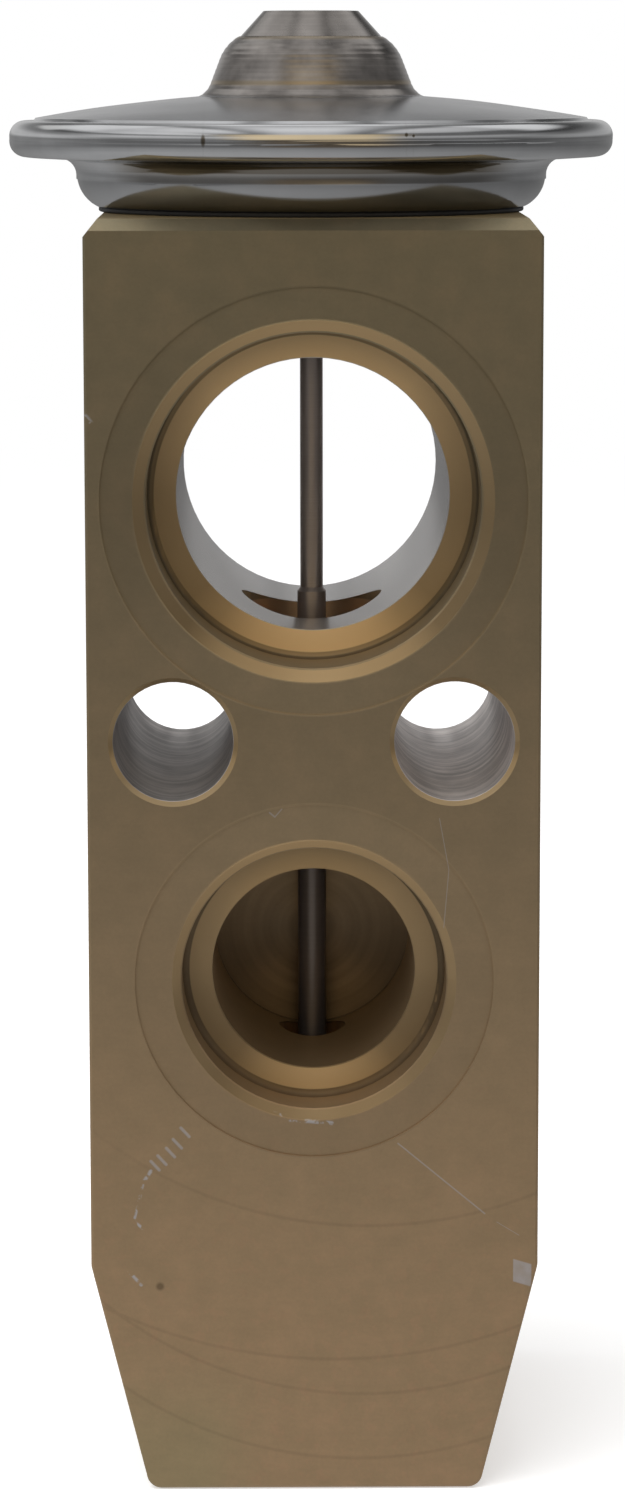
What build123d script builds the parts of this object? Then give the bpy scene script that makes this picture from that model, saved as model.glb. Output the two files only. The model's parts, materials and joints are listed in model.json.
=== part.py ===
# Block-type expansion valve, in millimetres.
# The origin is the centre of the block's foot, on the valve's axis. +Z runs up to the head,
# and -Y is the side with the two evaporator ports.
from build123d import *
from math import sqrt
import os

# Gaps between neighbours
RUNNING = 0.05            # a pin, screw or nose that turns or slides in its bore
FACE_GAP = 0.02           # faces that press on each other through the moving stem
SEAL_GAP = 0.02           # a ring beside the wall it seals against
FIXED_GAP = 0.03          # a fixed piece in its hole
OVERRUN = 1.0             # how far a cutter runs past the face it starts from

# Block
BLOCK_WIDTH = 26.0
BLOCK_DEPTH = 29.0
BLOCK_HEIGHT = 74.0
FOOT_WIDTH = 19.3
TAPER_HEIGHT = 13.4
FOOT_ROUND = 0.85
TAPER_ROUND = 1.2
SIDE_CHAMFER_WIDTH = 0.8
SIDE_CHAMFER_HEIGHT = 1.0
TOP_CHAMFER = 0.65
EDGE_BREAK = 0.15

# Suction passage, open from the front to the back
SUCTION_HEIGHT = 58.0
SUCTION_BORE_RADIUS = 7.9
SUCTION_SEAT_RADIUS = 9.6
SUCTION_SEAT_DEPTH = 5.0
SUCTION_MOUTH_RADIUS = 10.3
SUCTION_RING_RADIUS = 12.2
SUCTION_BACK_DEPTH = 1.4
SUCTION_BACK_LEAD = 0.28

# Liquid outlet, a blind port in the front
OUTLET_HEIGHT = 30.3
OUTLET_BORE_RADIUS = 5.93
OUTLET_SEAT_RADIUS = 7.67
OUTLET_SEAT_DEPTH = 3.9
OUTLET_MOUTH_RADIUS = 8.2
OUTLET_RING_RADIUS = 10.35
OUTLET_DEPTH = 16.7

# Liquid inlet, in the back
INLET_HEIGHT = 18.0
INLET_BORE_RADIUS = 3.6
INLET_SEAT_RADIUS = 6.4
INLET_SEAT_DEPTH = 1.4
INLET_LEAD = 0.25

# What the ports share
MOUTH_DEPTH = 0.65
RING_DEPTH = 0.1
SEAT_ROUND = 0.4
BACK_MOUTH = 0.25

# Bolt holes either side of the axis, and the tapped hole in the back
BOLT_SPACING = 16.13
BOLT_HEIGHT = 44.25
BOLT_RADIUS = 3.45
BOLT_FRONT_CHAMFER = 0.28
BOLT_BACK_CHAMFER = 0.45
TAPPED_RADIUS = 3.0       # the thread's outer radius
TAPPED_DEPTH = 9.0
TAPPED_CHAMFER = 0.5
DRILL_RADIUS = 2.5
DRILL_TAIL = 1.0
DRILL_POINT_SLOPE = 0.6   # height of a drill's point for each millimetre of its radius

# Axis bores, from the head down to the foot
SOCKET_RADIUS = 9.0
SOCKET_DEPTH = 6.0
SOCKET_CHAMFER = 0.6
SENSING_RADIUS = 2.6
POCKET_RADIUS = 4.2
POCKET_FLOOR = 47.2
SEAL_POCKET_RADIUS = 2.1
SEAL_POCKET_DEPTH = 1.6
ORIFICE_RADIUS = 2.0
SEAT_HEIGHT = 22.6
SEAT_CHAMFER = 0.4
CHAMBER_RADIUS = 4.5
SCREW_BORE_RADIUS = 5.0
SCREW_BORE_HEIGHT = 6.6
SCREW_BORE_CHAMFER = 0.6

# Transfer pin
PIN_RADIUS = 0.68
PIN_GUIDE_RADIUS = 0.86
PIN_STEP_ABOVE_FLOOR = 1.2
PIN_STEP_LENGTH = 0.25
PIN_END_CHAMFER = 0.15
PIN_SOCKET_DEPTH = 2.6

# Ball, carrier and springs
BALL_RADIUS = 2.5
CARRIER_RADIUS = 3.6
CARRIER_FLANGE = 1.2
CARRIER_CUP_RADIUS = 2.95
CARRIER_CUP_DEPTH = 1.3
CARRIER_SPIGOT_RADIUS = 2.1
CARRIER_SPIGOT_LENGTH = 1.6
DAMPING_THICKNESS = 0.25
DAMPING_LEGS = 6
DAMPING_LEG_WIDTH = 1.3
DAMPING_LEG_LENGTH = 2.4
DAMPING_WALL_GAP = 0.12
WIRE_RADIUS = 0.36
SPRING_RADIUS = 2.85
SPRING_TURNS = 5

# Adjusting screw
SCREW_SINK = 1.4
SCREW_THREAD_LENGTH = 4.2
SCREW_LENGTH = 8.6
SCREW_CHAMFER = 0.4
GROOVE_RADIUS = 3.3
GROOVE_WIDTH = 1.3
GROOVE_BELOW_TOP = 0.7
HEX_ACROSS_FLATS = 5.0
HEX_DEPTH = 3.6

# Pieces in the pocket
SEAL_WIRE_RADIUS = 0.56
WASHER_THICKNESS = 0.5
WASHER_WALL_GAP = 0.3
RETAINER_THICKNESS = 0.3
RETAINER_HOLE_RADIUS = 2.3
RETAINER_TEETH = 8
RETAINER_TOOTH_HEIGHT = 0.8
RETAINER_SLOT = 0.7

# Head
HEAD_RING_HEIGHT = 0.3
HEAD_RING_RADIUS = 12.6
HEAD_RING_ROUND = 0.12
NECK_RADIUS = SOCKET_RADIUS - RUNNING
NECK_INNER_RADIUS = 7.4
NECK_LENGTH = 5.8
NECK_CHAMFER = 0.4
COVER_FLOOR_THICKNESS = 1.1
COVER_WALL_RADIUS = 13.92
COVER_WALL_THICKNESS = 1.2
COVER_STEP = 0.06
COVER_STEP_HEIGHT = 1.6
COVER_FLOOR_RADIUS = 12.7
COVER_BEND_RADIUS = 13.42
COVER_BEND_HEIGHT = 0.58
COVER_INNER_ROUND = 1.2
RIM_RADIUS = 17.84
RIM_HEIGHT = 4.0          # from the cover's floor up to the middle of the rim
RIM_THICKNESS = 2.06
RIM_ROUND = 0.9
RIM_UNDERSIDE_DROP = 0.22
RIM_NECK_ROUND = 0.6
DIAPHRAGM_THICKNESS = 0.15
WAVE_START = 6.0
WAVE_WIDTH = 2.3
WAVE_RISE = 0.3
WAVES = 3
PLATE_RADIUS = 10.4
PLATE_THICKNESS = 1.1
PLATE_BOSS_RADIUS = 3.0
PLATE_BOSS_LENGTH = 2.4
PLATE_CHAMFER = 0.2
DISH_FOOT_RADIUS = 16.3
DISH_FOOT_RISE = 1.18
DISH_TOP_RADIUS = 6.65
DISH_TOP_RISE = 2.42
DISH_BULGE = 0.12
DISH_THICKNESS = 0.95
CAVITY_RADIUS = 14.4
DOME_WAIST_RADIUS = 5.95
DOME_WAIST_RISE = 3.12
DOME_FLARE = 0.07
DOME_SHOULDER_RADIUS = 5.38
DOME_SHOULDER_RISE = 4.6
DOME_TOP_RADIUS = 4.23
DOME_HEIGHT = 5.92
DOME_THICKNESS = 0.9
PLUG_BASE_RADIUS = 4.15
PLUG_TOP_RADIUS = 2.8
PLUG_HEIGHT = 1.48
PLUG_EDGE = 0.12
PLUG_HOLE_RADIUS = 1.6
PLUG_STEM_LENGTH = 1.5

# Places that follow from the sizes above
FRONT = -BLOCK_DEPTH / 2
BACK = BLOCK_DEPTH / 2
SUCTION_FLOOR = SUCTION_HEIGHT - SUCTION_BORE_RADIUS
PIN_STEP = SUCTION_FLOOR + PIN_STEP_ABOVE_FLOOR
GUIDE_TOP = POCKET_FLOOR - SEAL_POCKET_DEPTH
BALL_HEIGHT = SEAT_HEIGHT - sqrt(BALL_RADIUS**2 - ORIFICE_RADIUS**2) - FACE_GAP
PIN_FOOT = BALL_HEIGHT + BALL_RADIUS + FACE_GAP
CUP_CONTACT = BALL_RADIUS / sqrt(2)
CUP_APEX = BALL_HEIGHT - BALL_RADIUS * sqrt(2) - FACE_GAP
CARRIER_TOP = BALL_HEIGHT - CUP_CONTACT + CARRIER_CUP_DEPTH / 2
CARRIER_FLANGE_TOP = CARRIER_TOP - CARRIER_CUP_DEPTH
CARRIER_FOOT = CARRIER_FLANGE_TOP - CARRIER_FLANGE
SPRING_TOP = CARRIER_FOOT - DAMPING_THICKNESS - 2 * FACE_GAP
SCREW_TOP = SCREW_SINK + SCREW_LENGTH
SPRING_FOOT = SCREW_TOP + FACE_GAP
NOSE_RADIUS = CHAMBER_RADIUS - RUNNING
GROOVE_TOP = SCREW_TOP - GROOVE_BELOW_TOP
COVER_FLOOR = BLOCK_HEIGHT + HEAD_RING_HEIGHT
RIM_MIDDLE = COVER_FLOOR + RIM_HEIGHT
DIAPHRAGM_FOOT = RIM_MIDDLE - DIAPHRAGM_THICKNESS / 2
DIAPHRAGM_TOP = RIM_MIDDLE + DIAPHRAGM_THICKNESS / 2
PLATE_TOP = DIAPHRAGM_FOOT - FACE_GAP
PLATE_FOOT = PLATE_TOP - PLATE_THICKNESS
BOSS_FOOT = PLATE_FOOT - PLATE_BOSS_LENGTH
PIN_TOP = BOSS_FOOT + PIN_SOCKET_DEPTH - FACE_GAP
DOME_TOP = RIM_MIDDLE + DOME_HEIGHT


def rounded(face, points, rounds):
    """Fillet the face's corners; rounds gives the fillet radius of a numbered point."""
    for number, radius in rounds.items():
        corner = Vector(*points[number])
        nearest = min(face.vertices(), key=lambda vertex: (Vector(*vertex) - corner).length)
        face = fillet(nearest, radius)
    return face


def outline(points, rounds=None):
    """Closed face through the points, with its corners rounded."""
    return rounded(make_face(Polyline(*points, close=True)), points, rounds or {})


def turned(face):
    """Solid turned about the valve's axis from a face drawn as (radius, height)."""
    return revolve(Plane.XZ * face, Axis.Z)


def from_front(cutter, height):
    """Place a turned cutter, whose depth runs along +Z, on the front face."""
    return Pos(0, FRONT, height) * Rot(X=-90) * cutter


def from_back(cutter, height):
    """Place a turned cutter, whose depth runs along +Z, on the back face."""
    return Pos(0, BACK, height) * Rot(X=90) * cutter


def block_blank():
    """The sawn block: straight sides, tapered foot and chamfered top edges."""
    half_width = BLOCK_WIDTH / 2
    half_foot = FOOT_WIDTH / 2
    shoulder = BLOCK_HEIGHT - SIDE_CHAMFER_HEIGHT
    top_half = half_width - SIDE_CHAMFER_WIDTH
    right = [(half_foot, 0), (half_width, TAPER_HEIGHT), (half_width, shoulder), (top_half, BLOCK_HEIGHT)]
    left = [(-x, z) for x, z in reversed(right)]
    rounds = {0: FOOT_ROUND, 1: TAPER_ROUND, 6: TAPER_ROUND, 7: FOOT_ROUND}
    blank = extrude(Plane.XZ * outline(right + left, rounds), BLOCK_DEPTH / 2, both=True)
    top = blank.faces().sort_by(Axis.Z)[-1]
    top_edges = top.edges().filter_by(Axis.X)
    blank = chamfer(top_edges, TOP_CHAMFER)
    upright = blank.edges().filter_by(Axis.Z)
    return chamfer(upright, EDGE_BREAK)


def suction_cutter():
    """Suction passage: face ring, mouth, ring seat and the bore through to the back."""
    mouth_floor = RING_DEPTH + MOUTH_DEPTH
    back_floor = BLOCK_DEPTH - SUCTION_BACK_DEPTH
    back_seat_edge = BLOCK_DEPTH - BACK_MOUTH
    points = [
        (0, -OVERRUN),
        (SUCTION_RING_RADIUS, -OVERRUN),
        (SUCTION_RING_RADIUS, RING_DEPTH),
        (SUCTION_MOUTH_RADIUS, RING_DEPTH),
        (SUCTION_SEAT_RADIUS, mouth_floor),
        (SUCTION_SEAT_RADIUS, SUCTION_SEAT_DEPTH),
        (SUCTION_BORE_RADIUS, SUCTION_SEAT_DEPTH),
        (SUCTION_BORE_RADIUS, back_floor - SUCTION_BACK_LEAD),
        (SUCTION_BORE_RADIUS + SUCTION_BACK_LEAD, back_floor),
        (SUCTION_SEAT_RADIUS, back_floor),
        (SUCTION_SEAT_RADIUS, back_seat_edge),
        (SUCTION_SEAT_RADIUS + BACK_MOUTH + OVERRUN, BLOCK_DEPTH + OVERRUN),
        (0, BLOCK_DEPTH + OVERRUN),
    ]
    return from_front(turned(outline(points, {5: SEAT_ROUND})), SUCTION_HEIGHT)


def outlet_cutter():
    """Liquid outlet: face ring, mouth, ring seat with a rounded floor, and the blind bore."""
    points = [
        (0, -OVERRUN),
        (OUTLET_RING_RADIUS, -OVERRUN),
        (OUTLET_RING_RADIUS, RING_DEPTH),
        (OUTLET_MOUTH_RADIUS, RING_DEPTH),
        (OUTLET_SEAT_RADIUS, RING_DEPTH + MOUTH_DEPTH),
        (OUTLET_SEAT_RADIUS, OUTLET_SEAT_DEPTH),
        (OUTLET_BORE_RADIUS, OUTLET_SEAT_DEPTH),
        (OUTLET_BORE_RADIUS, OUTLET_DEPTH),
        (0, OUTLET_DEPTH),
    ]
    return from_front(turned(outline(points, {5: SEAT_ROUND})), OUTLET_HEIGHT)


def inlet_cutter():
    """Liquid inlet: shallow ring seat in the back and a bore into the ball chamber."""
    points = [
        (0, -OVERRUN),
        (INLET_SEAT_RADIUS + BACK_MOUTH + OVERRUN, -OVERRUN),
        (INLET_SEAT_RADIUS, BACK_MOUTH),
        (INLET_SEAT_RADIUS, INLET_SEAT_DEPTH),
        (INLET_BORE_RADIUS + INLET_LEAD, INLET_SEAT_DEPTH),
        (INLET_BORE_RADIUS, INLET_SEAT_DEPTH + INLET_LEAD),
        (INLET_BORE_RADIUS, BLOCK_DEPTH / 2),
        (0, BLOCK_DEPTH / 2),
    ]
    return from_back(turned(outline(points)), INLET_HEIGHT)


def bolt_cutters():
    """The two through holes for the evaporator's screws."""
    points = [
        (0, -OVERRUN),
        (BOLT_RADIUS + BOLT_FRONT_CHAMFER + OVERRUN, -OVERRUN),
        (BOLT_RADIUS, BOLT_FRONT_CHAMFER),
        (BOLT_RADIUS, BLOCK_DEPTH - BOLT_BACK_CHAMFER),
        (BOLT_RADIUS + BOLT_BACK_CHAMFER + OVERRUN, BLOCK_DEPTH + OVERRUN),
        (0, BLOCK_DEPTH + OVERRUN),
    ]
    hole = from_front(turned(outline(points)), BOLT_HEIGHT)
    return [Pos(side * BOLT_SPACING / 2, 0, 0) * hole for side in (-1, 1)]


def tapped_cutter():
    """Blind tapped hole in the back, midway between the suction and liquid pipes."""
    drill_end = TAPPED_DEPTH + DRILL_TAIL
    points = [
        (0, -OVERRUN),
        (TAPPED_RADIUS + TAPPED_CHAMFER + OVERRUN, -OVERRUN),
        (TAPPED_RADIUS, TAPPED_CHAMFER),
        (TAPPED_RADIUS, TAPPED_DEPTH),
        (DRILL_RADIUS, TAPPED_DEPTH),
        (DRILL_RADIUS, drill_end),
        (0, drill_end + DRILL_POINT_SLOPE * DRILL_RADIUS),
    ]
    return from_back(turned(outline(points)), (SUCTION_HEIGHT + INLET_HEIGHT) / 2)


def upper_axis_cutter():
    """Socket for the head, sensing hole, pocket in the suction floor and the pin's guide bore."""
    socket_floor = BLOCK_HEIGHT - SOCKET_DEPTH
    guide_radius = PIN_GUIDE_RADIUS + RUNNING
    points = [
        (0, BLOCK_HEIGHT + OVERRUN),
        (SOCKET_RADIUS + SOCKET_CHAMFER + OVERRUN, BLOCK_HEIGHT + OVERRUN),
        (SOCKET_RADIUS, BLOCK_HEIGHT - SOCKET_CHAMFER),
        (SOCKET_RADIUS, socket_floor),
        (SENSING_RADIUS, socket_floor),
        (SENSING_RADIUS, SUCTION_HEIGHT),
        (POCKET_RADIUS, SUCTION_HEIGHT),
        (POCKET_RADIUS, POCKET_FLOOR),
        (SEAL_POCKET_RADIUS, POCKET_FLOOR),
        (SEAL_POCKET_RADIUS, GUIDE_TOP),
        (guide_radius, GUIDE_TOP),
        (guide_radius, OUTLET_HEIGHT),
        (0, OUTLET_HEIGHT),
    ]
    return turned(outline(points))


def lower_axis_cutter():
    """Orifice, ball seat, ball chamber and the adjusting screw's bore."""
    points = [
        (0, OUTLET_HEIGHT),
        (ORIFICE_RADIUS, OUTLET_HEIGHT),
        (ORIFICE_RADIUS, SEAT_HEIGHT),
        (ORIFICE_RADIUS + SEAT_CHAMFER, SEAT_HEIGHT - SEAT_CHAMFER),
        (CHAMBER_RADIUS, SEAT_HEIGHT - SEAT_CHAMFER),
        (CHAMBER_RADIUS, SCREW_BORE_HEIGHT),
        (SCREW_BORE_RADIUS, SCREW_BORE_HEIGHT),
        (SCREW_BORE_RADIUS, SCREW_BORE_CHAMFER),
        (SCREW_BORE_RADIUS + SCREW_BORE_CHAMFER + OVERRUN, -OVERRUN),
        (0, -OVERRUN),
    ]
    return turned(outline(points))


def valve_block():
    """The machined block with all its bores."""
    cutters = [suction_cutter(), outlet_cutter(), inlet_cutter(), tapped_cutter()]
    cutters += [upper_axis_cutter(), lower_axis_cutter(), *bolt_cutters()]
    return block_blank() - cutters


def transfer_pin():
    """Thin pin from the diaphragm plate down to the ball, thicker where it is guided."""
    points = [
        (0, PIN_TOP),
        (PIN_RADIUS - PIN_END_CHAMFER, PIN_TOP),
        (PIN_RADIUS, PIN_TOP - PIN_END_CHAMFER),
        (PIN_RADIUS, PIN_STEP + PIN_STEP_LENGTH),
        (PIN_GUIDE_RADIUS, PIN_STEP),
        (PIN_GUIDE_RADIUS, PIN_FOOT + PIN_END_CHAMFER),
        (PIN_GUIDE_RADIUS - PIN_END_CHAMFER, PIN_FOOT),
        (0, PIN_FOOT),
    ]
    return turned(outline(points))


def sealing_ring(inner_radius, wire_radius, height):
    """Round-section ring."""
    return Pos(0, 0, height) * Torus(inner_radius + wire_radius, wire_radius)


def pin_seal():
    """Ring round the pin's guided part, on the floor of its own small pocket."""
    inner = PIN_GUIDE_RADIUS + SEAL_GAP
    return sealing_ring(inner, SEAL_WIRE_RADIUS, GUIDE_TOP + SEAL_WIRE_RADIUS + SEAL_GAP)


def seal_washer():
    """Flat washer that closes the seal's pocket."""
    outer = Cylinder(POCKET_RADIUS - WASHER_WALL_GAP, WASHER_THICKNESS)
    hole = Cylinder(PIN_GUIDE_RADIUS + RUNNING, WASHER_THICKNESS)
    return Pos(0, 0, POCKET_FLOOR + WASHER_THICKNESS / 2) * (outer - hole)


def seal_retainer():
    """Push nut: a thin ring whose slotted, upturned rim grips the pocket's wall."""
    foot = POCKET_FLOOR + WASHER_THICKNESS
    rim = POCKET_RADIUS - FIXED_GAP
    points = [
        (RETAINER_HOLE_RADIUS, foot),
        (rim, foot),
        (rim, foot + RETAINER_TOOTH_HEIGHT),
        (rim - RETAINER_THICKNESS, foot + RETAINER_TOOTH_HEIGHT),
        (rim - RETAINER_THICKNESS, foot + RETAINER_THICKNESS),
        (RETAINER_HOLE_RADIUS, foot + RETAINER_THICKNESS),
    ]
    nut = turned(outline(points))
    slot_height = RETAINER_TOOTH_HEIGHT - RETAINER_THICKNESS
    slot = Pos(rim, 0, foot + RETAINER_THICKNESS + slot_height / 2)
    slot = slot * Box(3 * RETAINER_THICKNESS, RETAINER_SLOT, slot_height)
    turns = [Rot(Z=360 * number / RETAINER_TEETH) for number in range(RETAINER_TEETH)]
    return nut - [turn * slot for turn in turns]


def valve_ball():
    """Ball that closes the orifice from below."""
    return Pos(0, 0, BALL_HEIGHT) * Sphere(BALL_RADIUS)


def ball_carrier():
    """Cup with a conical seat for the ball, a flange for the spring and a spigot inside it."""
    mouth = CARRIER_TOP - CUP_APEX
    spigot_foot = CARRIER_FOOT - CARRIER_SPIGOT_LENGTH
    points = [
        (0, CUP_APEX),
        (mouth, CARRIER_TOP),
        (CARRIER_CUP_RADIUS, CARRIER_TOP),
        (CARRIER_CUP_RADIUS, CARRIER_FLANGE_TOP),
        (CARRIER_RADIUS, CARRIER_FLANGE_TOP),
        (CARRIER_RADIUS, CARRIER_FOOT),
        (CARRIER_SPIGOT_RADIUS, CARRIER_FOOT),
        (CARRIER_SPIGOT_RADIUS, spigot_foot),
        (0, spigot_foot),
    ]
    return turned(outline(points))


def damping_ring():
    """Sheet ring under the carrier's flange, with bent legs beside the chamber's wall."""
    top = CARRIER_FOOT - FACE_GAP
    foot = top - DAMPING_THICKNESS
    leg_outer = CHAMBER_RADIUS - DAMPING_WALL_GAP
    leg_inner = leg_outer - DAMPING_THICKNESS
    inner = CARRIER_SPIGOT_RADIUS + RUNNING
    ring = outline([(inner, foot), (CARRIER_RADIUS, foot), (CARRIER_RADIUS, top), (inner, top)])
    leg_points = [
        (CARRIER_RADIUS - DAMPING_THICKNESS, foot),
        (leg_inner, foot),
        (leg_inner, top - DAMPING_LEG_LENGTH),
        (leg_outer, top - DAMPING_LEG_LENGTH),
        (leg_outer, top),
        (CARRIER_RADIUS - DAMPING_THICKNESS, top),
    ]
    leg = extrude(Plane.XZ * outline(leg_points), DAMPING_LEG_WIDTH / 2, both=True)
    turns = [Rot(Z=360 * number / DAMPING_LEGS) for number in range(DAMPING_LEGS)]
    return turned(ring) + [turn * leg for turn in turns]


def closing_spring():
    """Coil spring with ground ends, between the damping ring and the adjusting screw."""
    height = SPRING_TOP - SPRING_FOOT
    pitch = height / SPRING_TURNS
    wire_run = Helix(pitch, height, SPRING_RADIUS)
    section = Plane(origin=wire_run @ 0, z_dir=wire_run % 0) * Circle(WIRE_RADIUS)
    coil = Pos(0, 0, SPRING_FOOT) * sweep(section, wire_run, is_frenet=True)
    room = Pos(0, 0, SPRING_FOOT + height / 2) * Cylinder(SPRING_RADIUS + OVERRUN, height)
    return coil & room


def adjusting_screw():
    """Socket screw in the foot, with a sealed nose that carries the spring."""
    thread_radius = SCREW_BORE_RADIUS - RUNNING
    thread_top = SCREW_SINK + SCREW_THREAD_LENGTH
    groove_foot = GROOVE_TOP - GROOVE_WIDTH
    points = [
        (0, SCREW_SINK),
        (thread_radius - SCREW_CHAMFER, SCREW_SINK),
        (thread_radius, SCREW_SINK + SCREW_CHAMFER),
        (thread_radius, thread_top),
        (NOSE_RADIUS, thread_top),
        (NOSE_RADIUS, groove_foot),
        (GROOVE_RADIUS, groove_foot),
        (GROOVE_RADIUS, GROOVE_TOP),
        (NOSE_RADIUS, GROOVE_TOP),
        (NOSE_RADIUS, SCREW_TOP),
        (0, SCREW_TOP),
    ]
    socket = extrude(RegularPolygon(HEX_ACROSS_FLATS / 2, 6, major_radius=False), HEX_DEPTH)
    return turned(outline(points)) - Pos(0, 0, SCREW_SINK) * socket


def screw_seal():
    """Ring in the adjusting screw's groove."""
    room = CHAMBER_RADIUS - GROOVE_RADIUS - 2 * SEAL_GAP
    return sealing_ring(GROOVE_RADIUS + SEAL_GAP, room / 2, GROOVE_TOP - GROOVE_WIDTH / 2)


def head_seal_ring():
    """Flat black ring between the head and the top of the block."""
    inner = SOCKET_RADIUS + SOCKET_CHAMFER
    top = BLOCK_HEIGHT + HEAD_RING_HEIGHT
    points = [
        (inner, BLOCK_HEIGHT),
        (HEAD_RING_RADIUS, BLOCK_HEIGHT),
        (HEAD_RING_RADIUS, top),
        (inner, top),
    ]
    return turned(outline(points, {1: HEAD_RING_ROUND, 2: HEAD_RING_ROUND}))


def head_lower_cover():
    """Lower cover: neck in the block's socket, stepped floor, wall and the rim's lower half."""
    neck_foot = COVER_FLOOR - HEAD_RING_HEIGHT - NECK_LENGTH
    underside = RIM_MIDDLE - RIM_THICKNESS / 2
    wall_top = underside - RIM_UNDERSIDE_DROP
    wall_foot = (COVER_WALL_RADIUS - COVER_STEP, COVER_FLOOR + COVER_STEP_HEIGHT)
    floor_edge = (COVER_FLOOR_RADIUS, COVER_FLOOR)
    inner_floor = COVER_FLOOR + COVER_FLOOR_THICKNESS
    inner_wall = COVER_WALL_RADIUS - COVER_WALL_THICKNESS
    upper_points = [
        wall_foot,
        (COVER_WALL_RADIUS, wall_foot[1]),
        (COVER_WALL_RADIUS, wall_top),
        (RIM_RADIUS, underside),
        (RIM_RADIUS, DIAPHRAGM_FOOT),
        (inner_wall, DIAPHRAGM_FOOT),
        (inner_wall, inner_floor),
        (NECK_INNER_RADIUS, inner_floor),
        (NECK_INNER_RADIUS, COVER_FLOOR),
        floor_edge,
    ]
    bend = (COVER_BEND_RADIUS, COVER_FLOOR + COVER_BEND_HEIGHT)
    upper_edges = Polyline(*upper_points).edges() + [ThreePointArc(floor_edge, bend, wall_foot)]
    upper = make_face(upper_edges)
    upper = rounded(upper, upper_points, {2: RIM_NECK_ROUND, 3: RIM_ROUND, 6: COVER_INNER_ROUND})
    neck_points = [
        (NECK_INNER_RADIUS, neck_foot),
        (NECK_RADIUS - NECK_CHAMFER, neck_foot),
        (NECK_RADIUS, neck_foot + NECK_CHAMFER),
        (NECK_RADIUS, COVER_FLOOR),
        (NECK_INNER_RADIUS, COVER_FLOOR),
    ]
    return turned(upper) + turned(outline(neck_points))


def diaphragm():
    """Thin disc with round waves, clamped between the two covers."""
    ends = [WAVE_START + WAVE_WIDTH * number for number in range(WAVES + 1)]
    path = [Line((0, DIAPHRAGM_FOOT), (ends[0], DIAPHRAGM_FOOT))]
    for inner, outer in zip(ends, ends[1:]):
        crest = ((inner + outer) / 2, DIAPHRAGM_FOOT + WAVE_RISE)
        path.append(ThreePointArc((inner, DIAPHRAGM_FOOT), crest, (outer, DIAPHRAGM_FOOT)))
    path.append(Line((ends[-1], DIAPHRAGM_FOOT), (RIM_RADIUS, DIAPHRAGM_FOOT)))
    top_side = [Pos(0, DIAPHRAGM_THICKNESS) * piece for piece in path]
    sides = [
        Line((0, DIAPHRAGM_FOOT), (0, DIAPHRAGM_TOP)),
        Line((RIM_RADIUS, DIAPHRAGM_FOOT), (RIM_RADIUS, DIAPHRAGM_TOP)),
    ]
    return turned(make_face(Wire([*path, *top_side, *sides])))


def diaphragm_plate():
    """Disc under the diaphragm, with a boss that holds the pin's head."""
    hole = PIN_RADIUS + FIXED_GAP
    points = [
        (0, PLATE_TOP),
        (PLATE_RADIUS - PLATE_CHAMFER, PLATE_TOP),
        (PLATE_RADIUS, PLATE_TOP - PLATE_CHAMFER),
        (PLATE_RADIUS, PLATE_FOOT),
        (PLATE_BOSS_RADIUS, PLATE_FOOT),
        (PLATE_BOSS_RADIUS, BOSS_FOOT),
        (hole, BOSS_FOOT),
        (hole, BOSS_FOOT + PIN_SOCKET_DEPTH),
        (0, BOSS_FOOT + PIN_SOCKET_DEPTH),
    ]
    return turned(outline(points))


def cover_outer():
    """Filled outline of the upper cover: rim, dish and dome."""
    rim_top = RIM_MIDDLE + RIM_THICKNESS / 2
    foot = (RIM_RADIUS - RIM_ROUND, rim_top)
    dish_foot = (DISH_FOOT_RADIUS, RIM_MIDDLE + DISH_FOOT_RISE)
    dish_top = (DISH_TOP_RADIUS, RIM_MIDDLE + DISH_TOP_RISE)
    dish_middle = (
        (dish_foot[0] + dish_top[0]) / 2,
        (dish_foot[1] + dish_top[1]) / 2 + DISH_BULGE,
    )
    waist = (DOME_WAIST_RADIUS, RIM_MIDDLE + DOME_WAIST_RISE)
    shoulder = (DOME_SHOULDER_RADIUS, RIM_MIDDLE + DOME_SHOULDER_RISE)
    flare = (
        (dish_top[0] + waist[0]) / 2 - DOME_FLARE,
        (dish_top[1] + waist[1]) / 2 - DOME_FLARE,
    )
    dome_edge = (DOME_TOP_RADIUS, DOME_TOP)
    dome_slope = (shoulder[0] - waist[0], shoulder[1] - waist[1])
    bend = RIM_ROUND / sqrt(2)
    rim_bend = (RIM_RADIUS - RIM_ROUND + bend, rim_top - RIM_ROUND + bend)
    path = [
        Line((0, DIAPHRAGM_TOP), (RIM_RADIUS, DIAPHRAGM_TOP)),
        Line((RIM_RADIUS, DIAPHRAGM_TOP), (RIM_RADIUS, rim_top - RIM_ROUND)),
        ThreePointArc((RIM_RADIUS, rim_top - RIM_ROUND), rim_bend, foot),
        Line(foot, dish_foot),
        ThreePointArc(dish_foot, dish_middle, dish_top),
        ThreePointArc(dish_top, flare, waist),
        Line(waist, shoulder),
        TangentArc(shoulder, dome_edge, tangent=dome_slope),
        Line(dome_edge, (0, DOME_TOP)),
        Line((0, DOME_TOP), (0, DIAPHRAGM_TOP)),
    ]
    return make_face(Wire(path))


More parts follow.
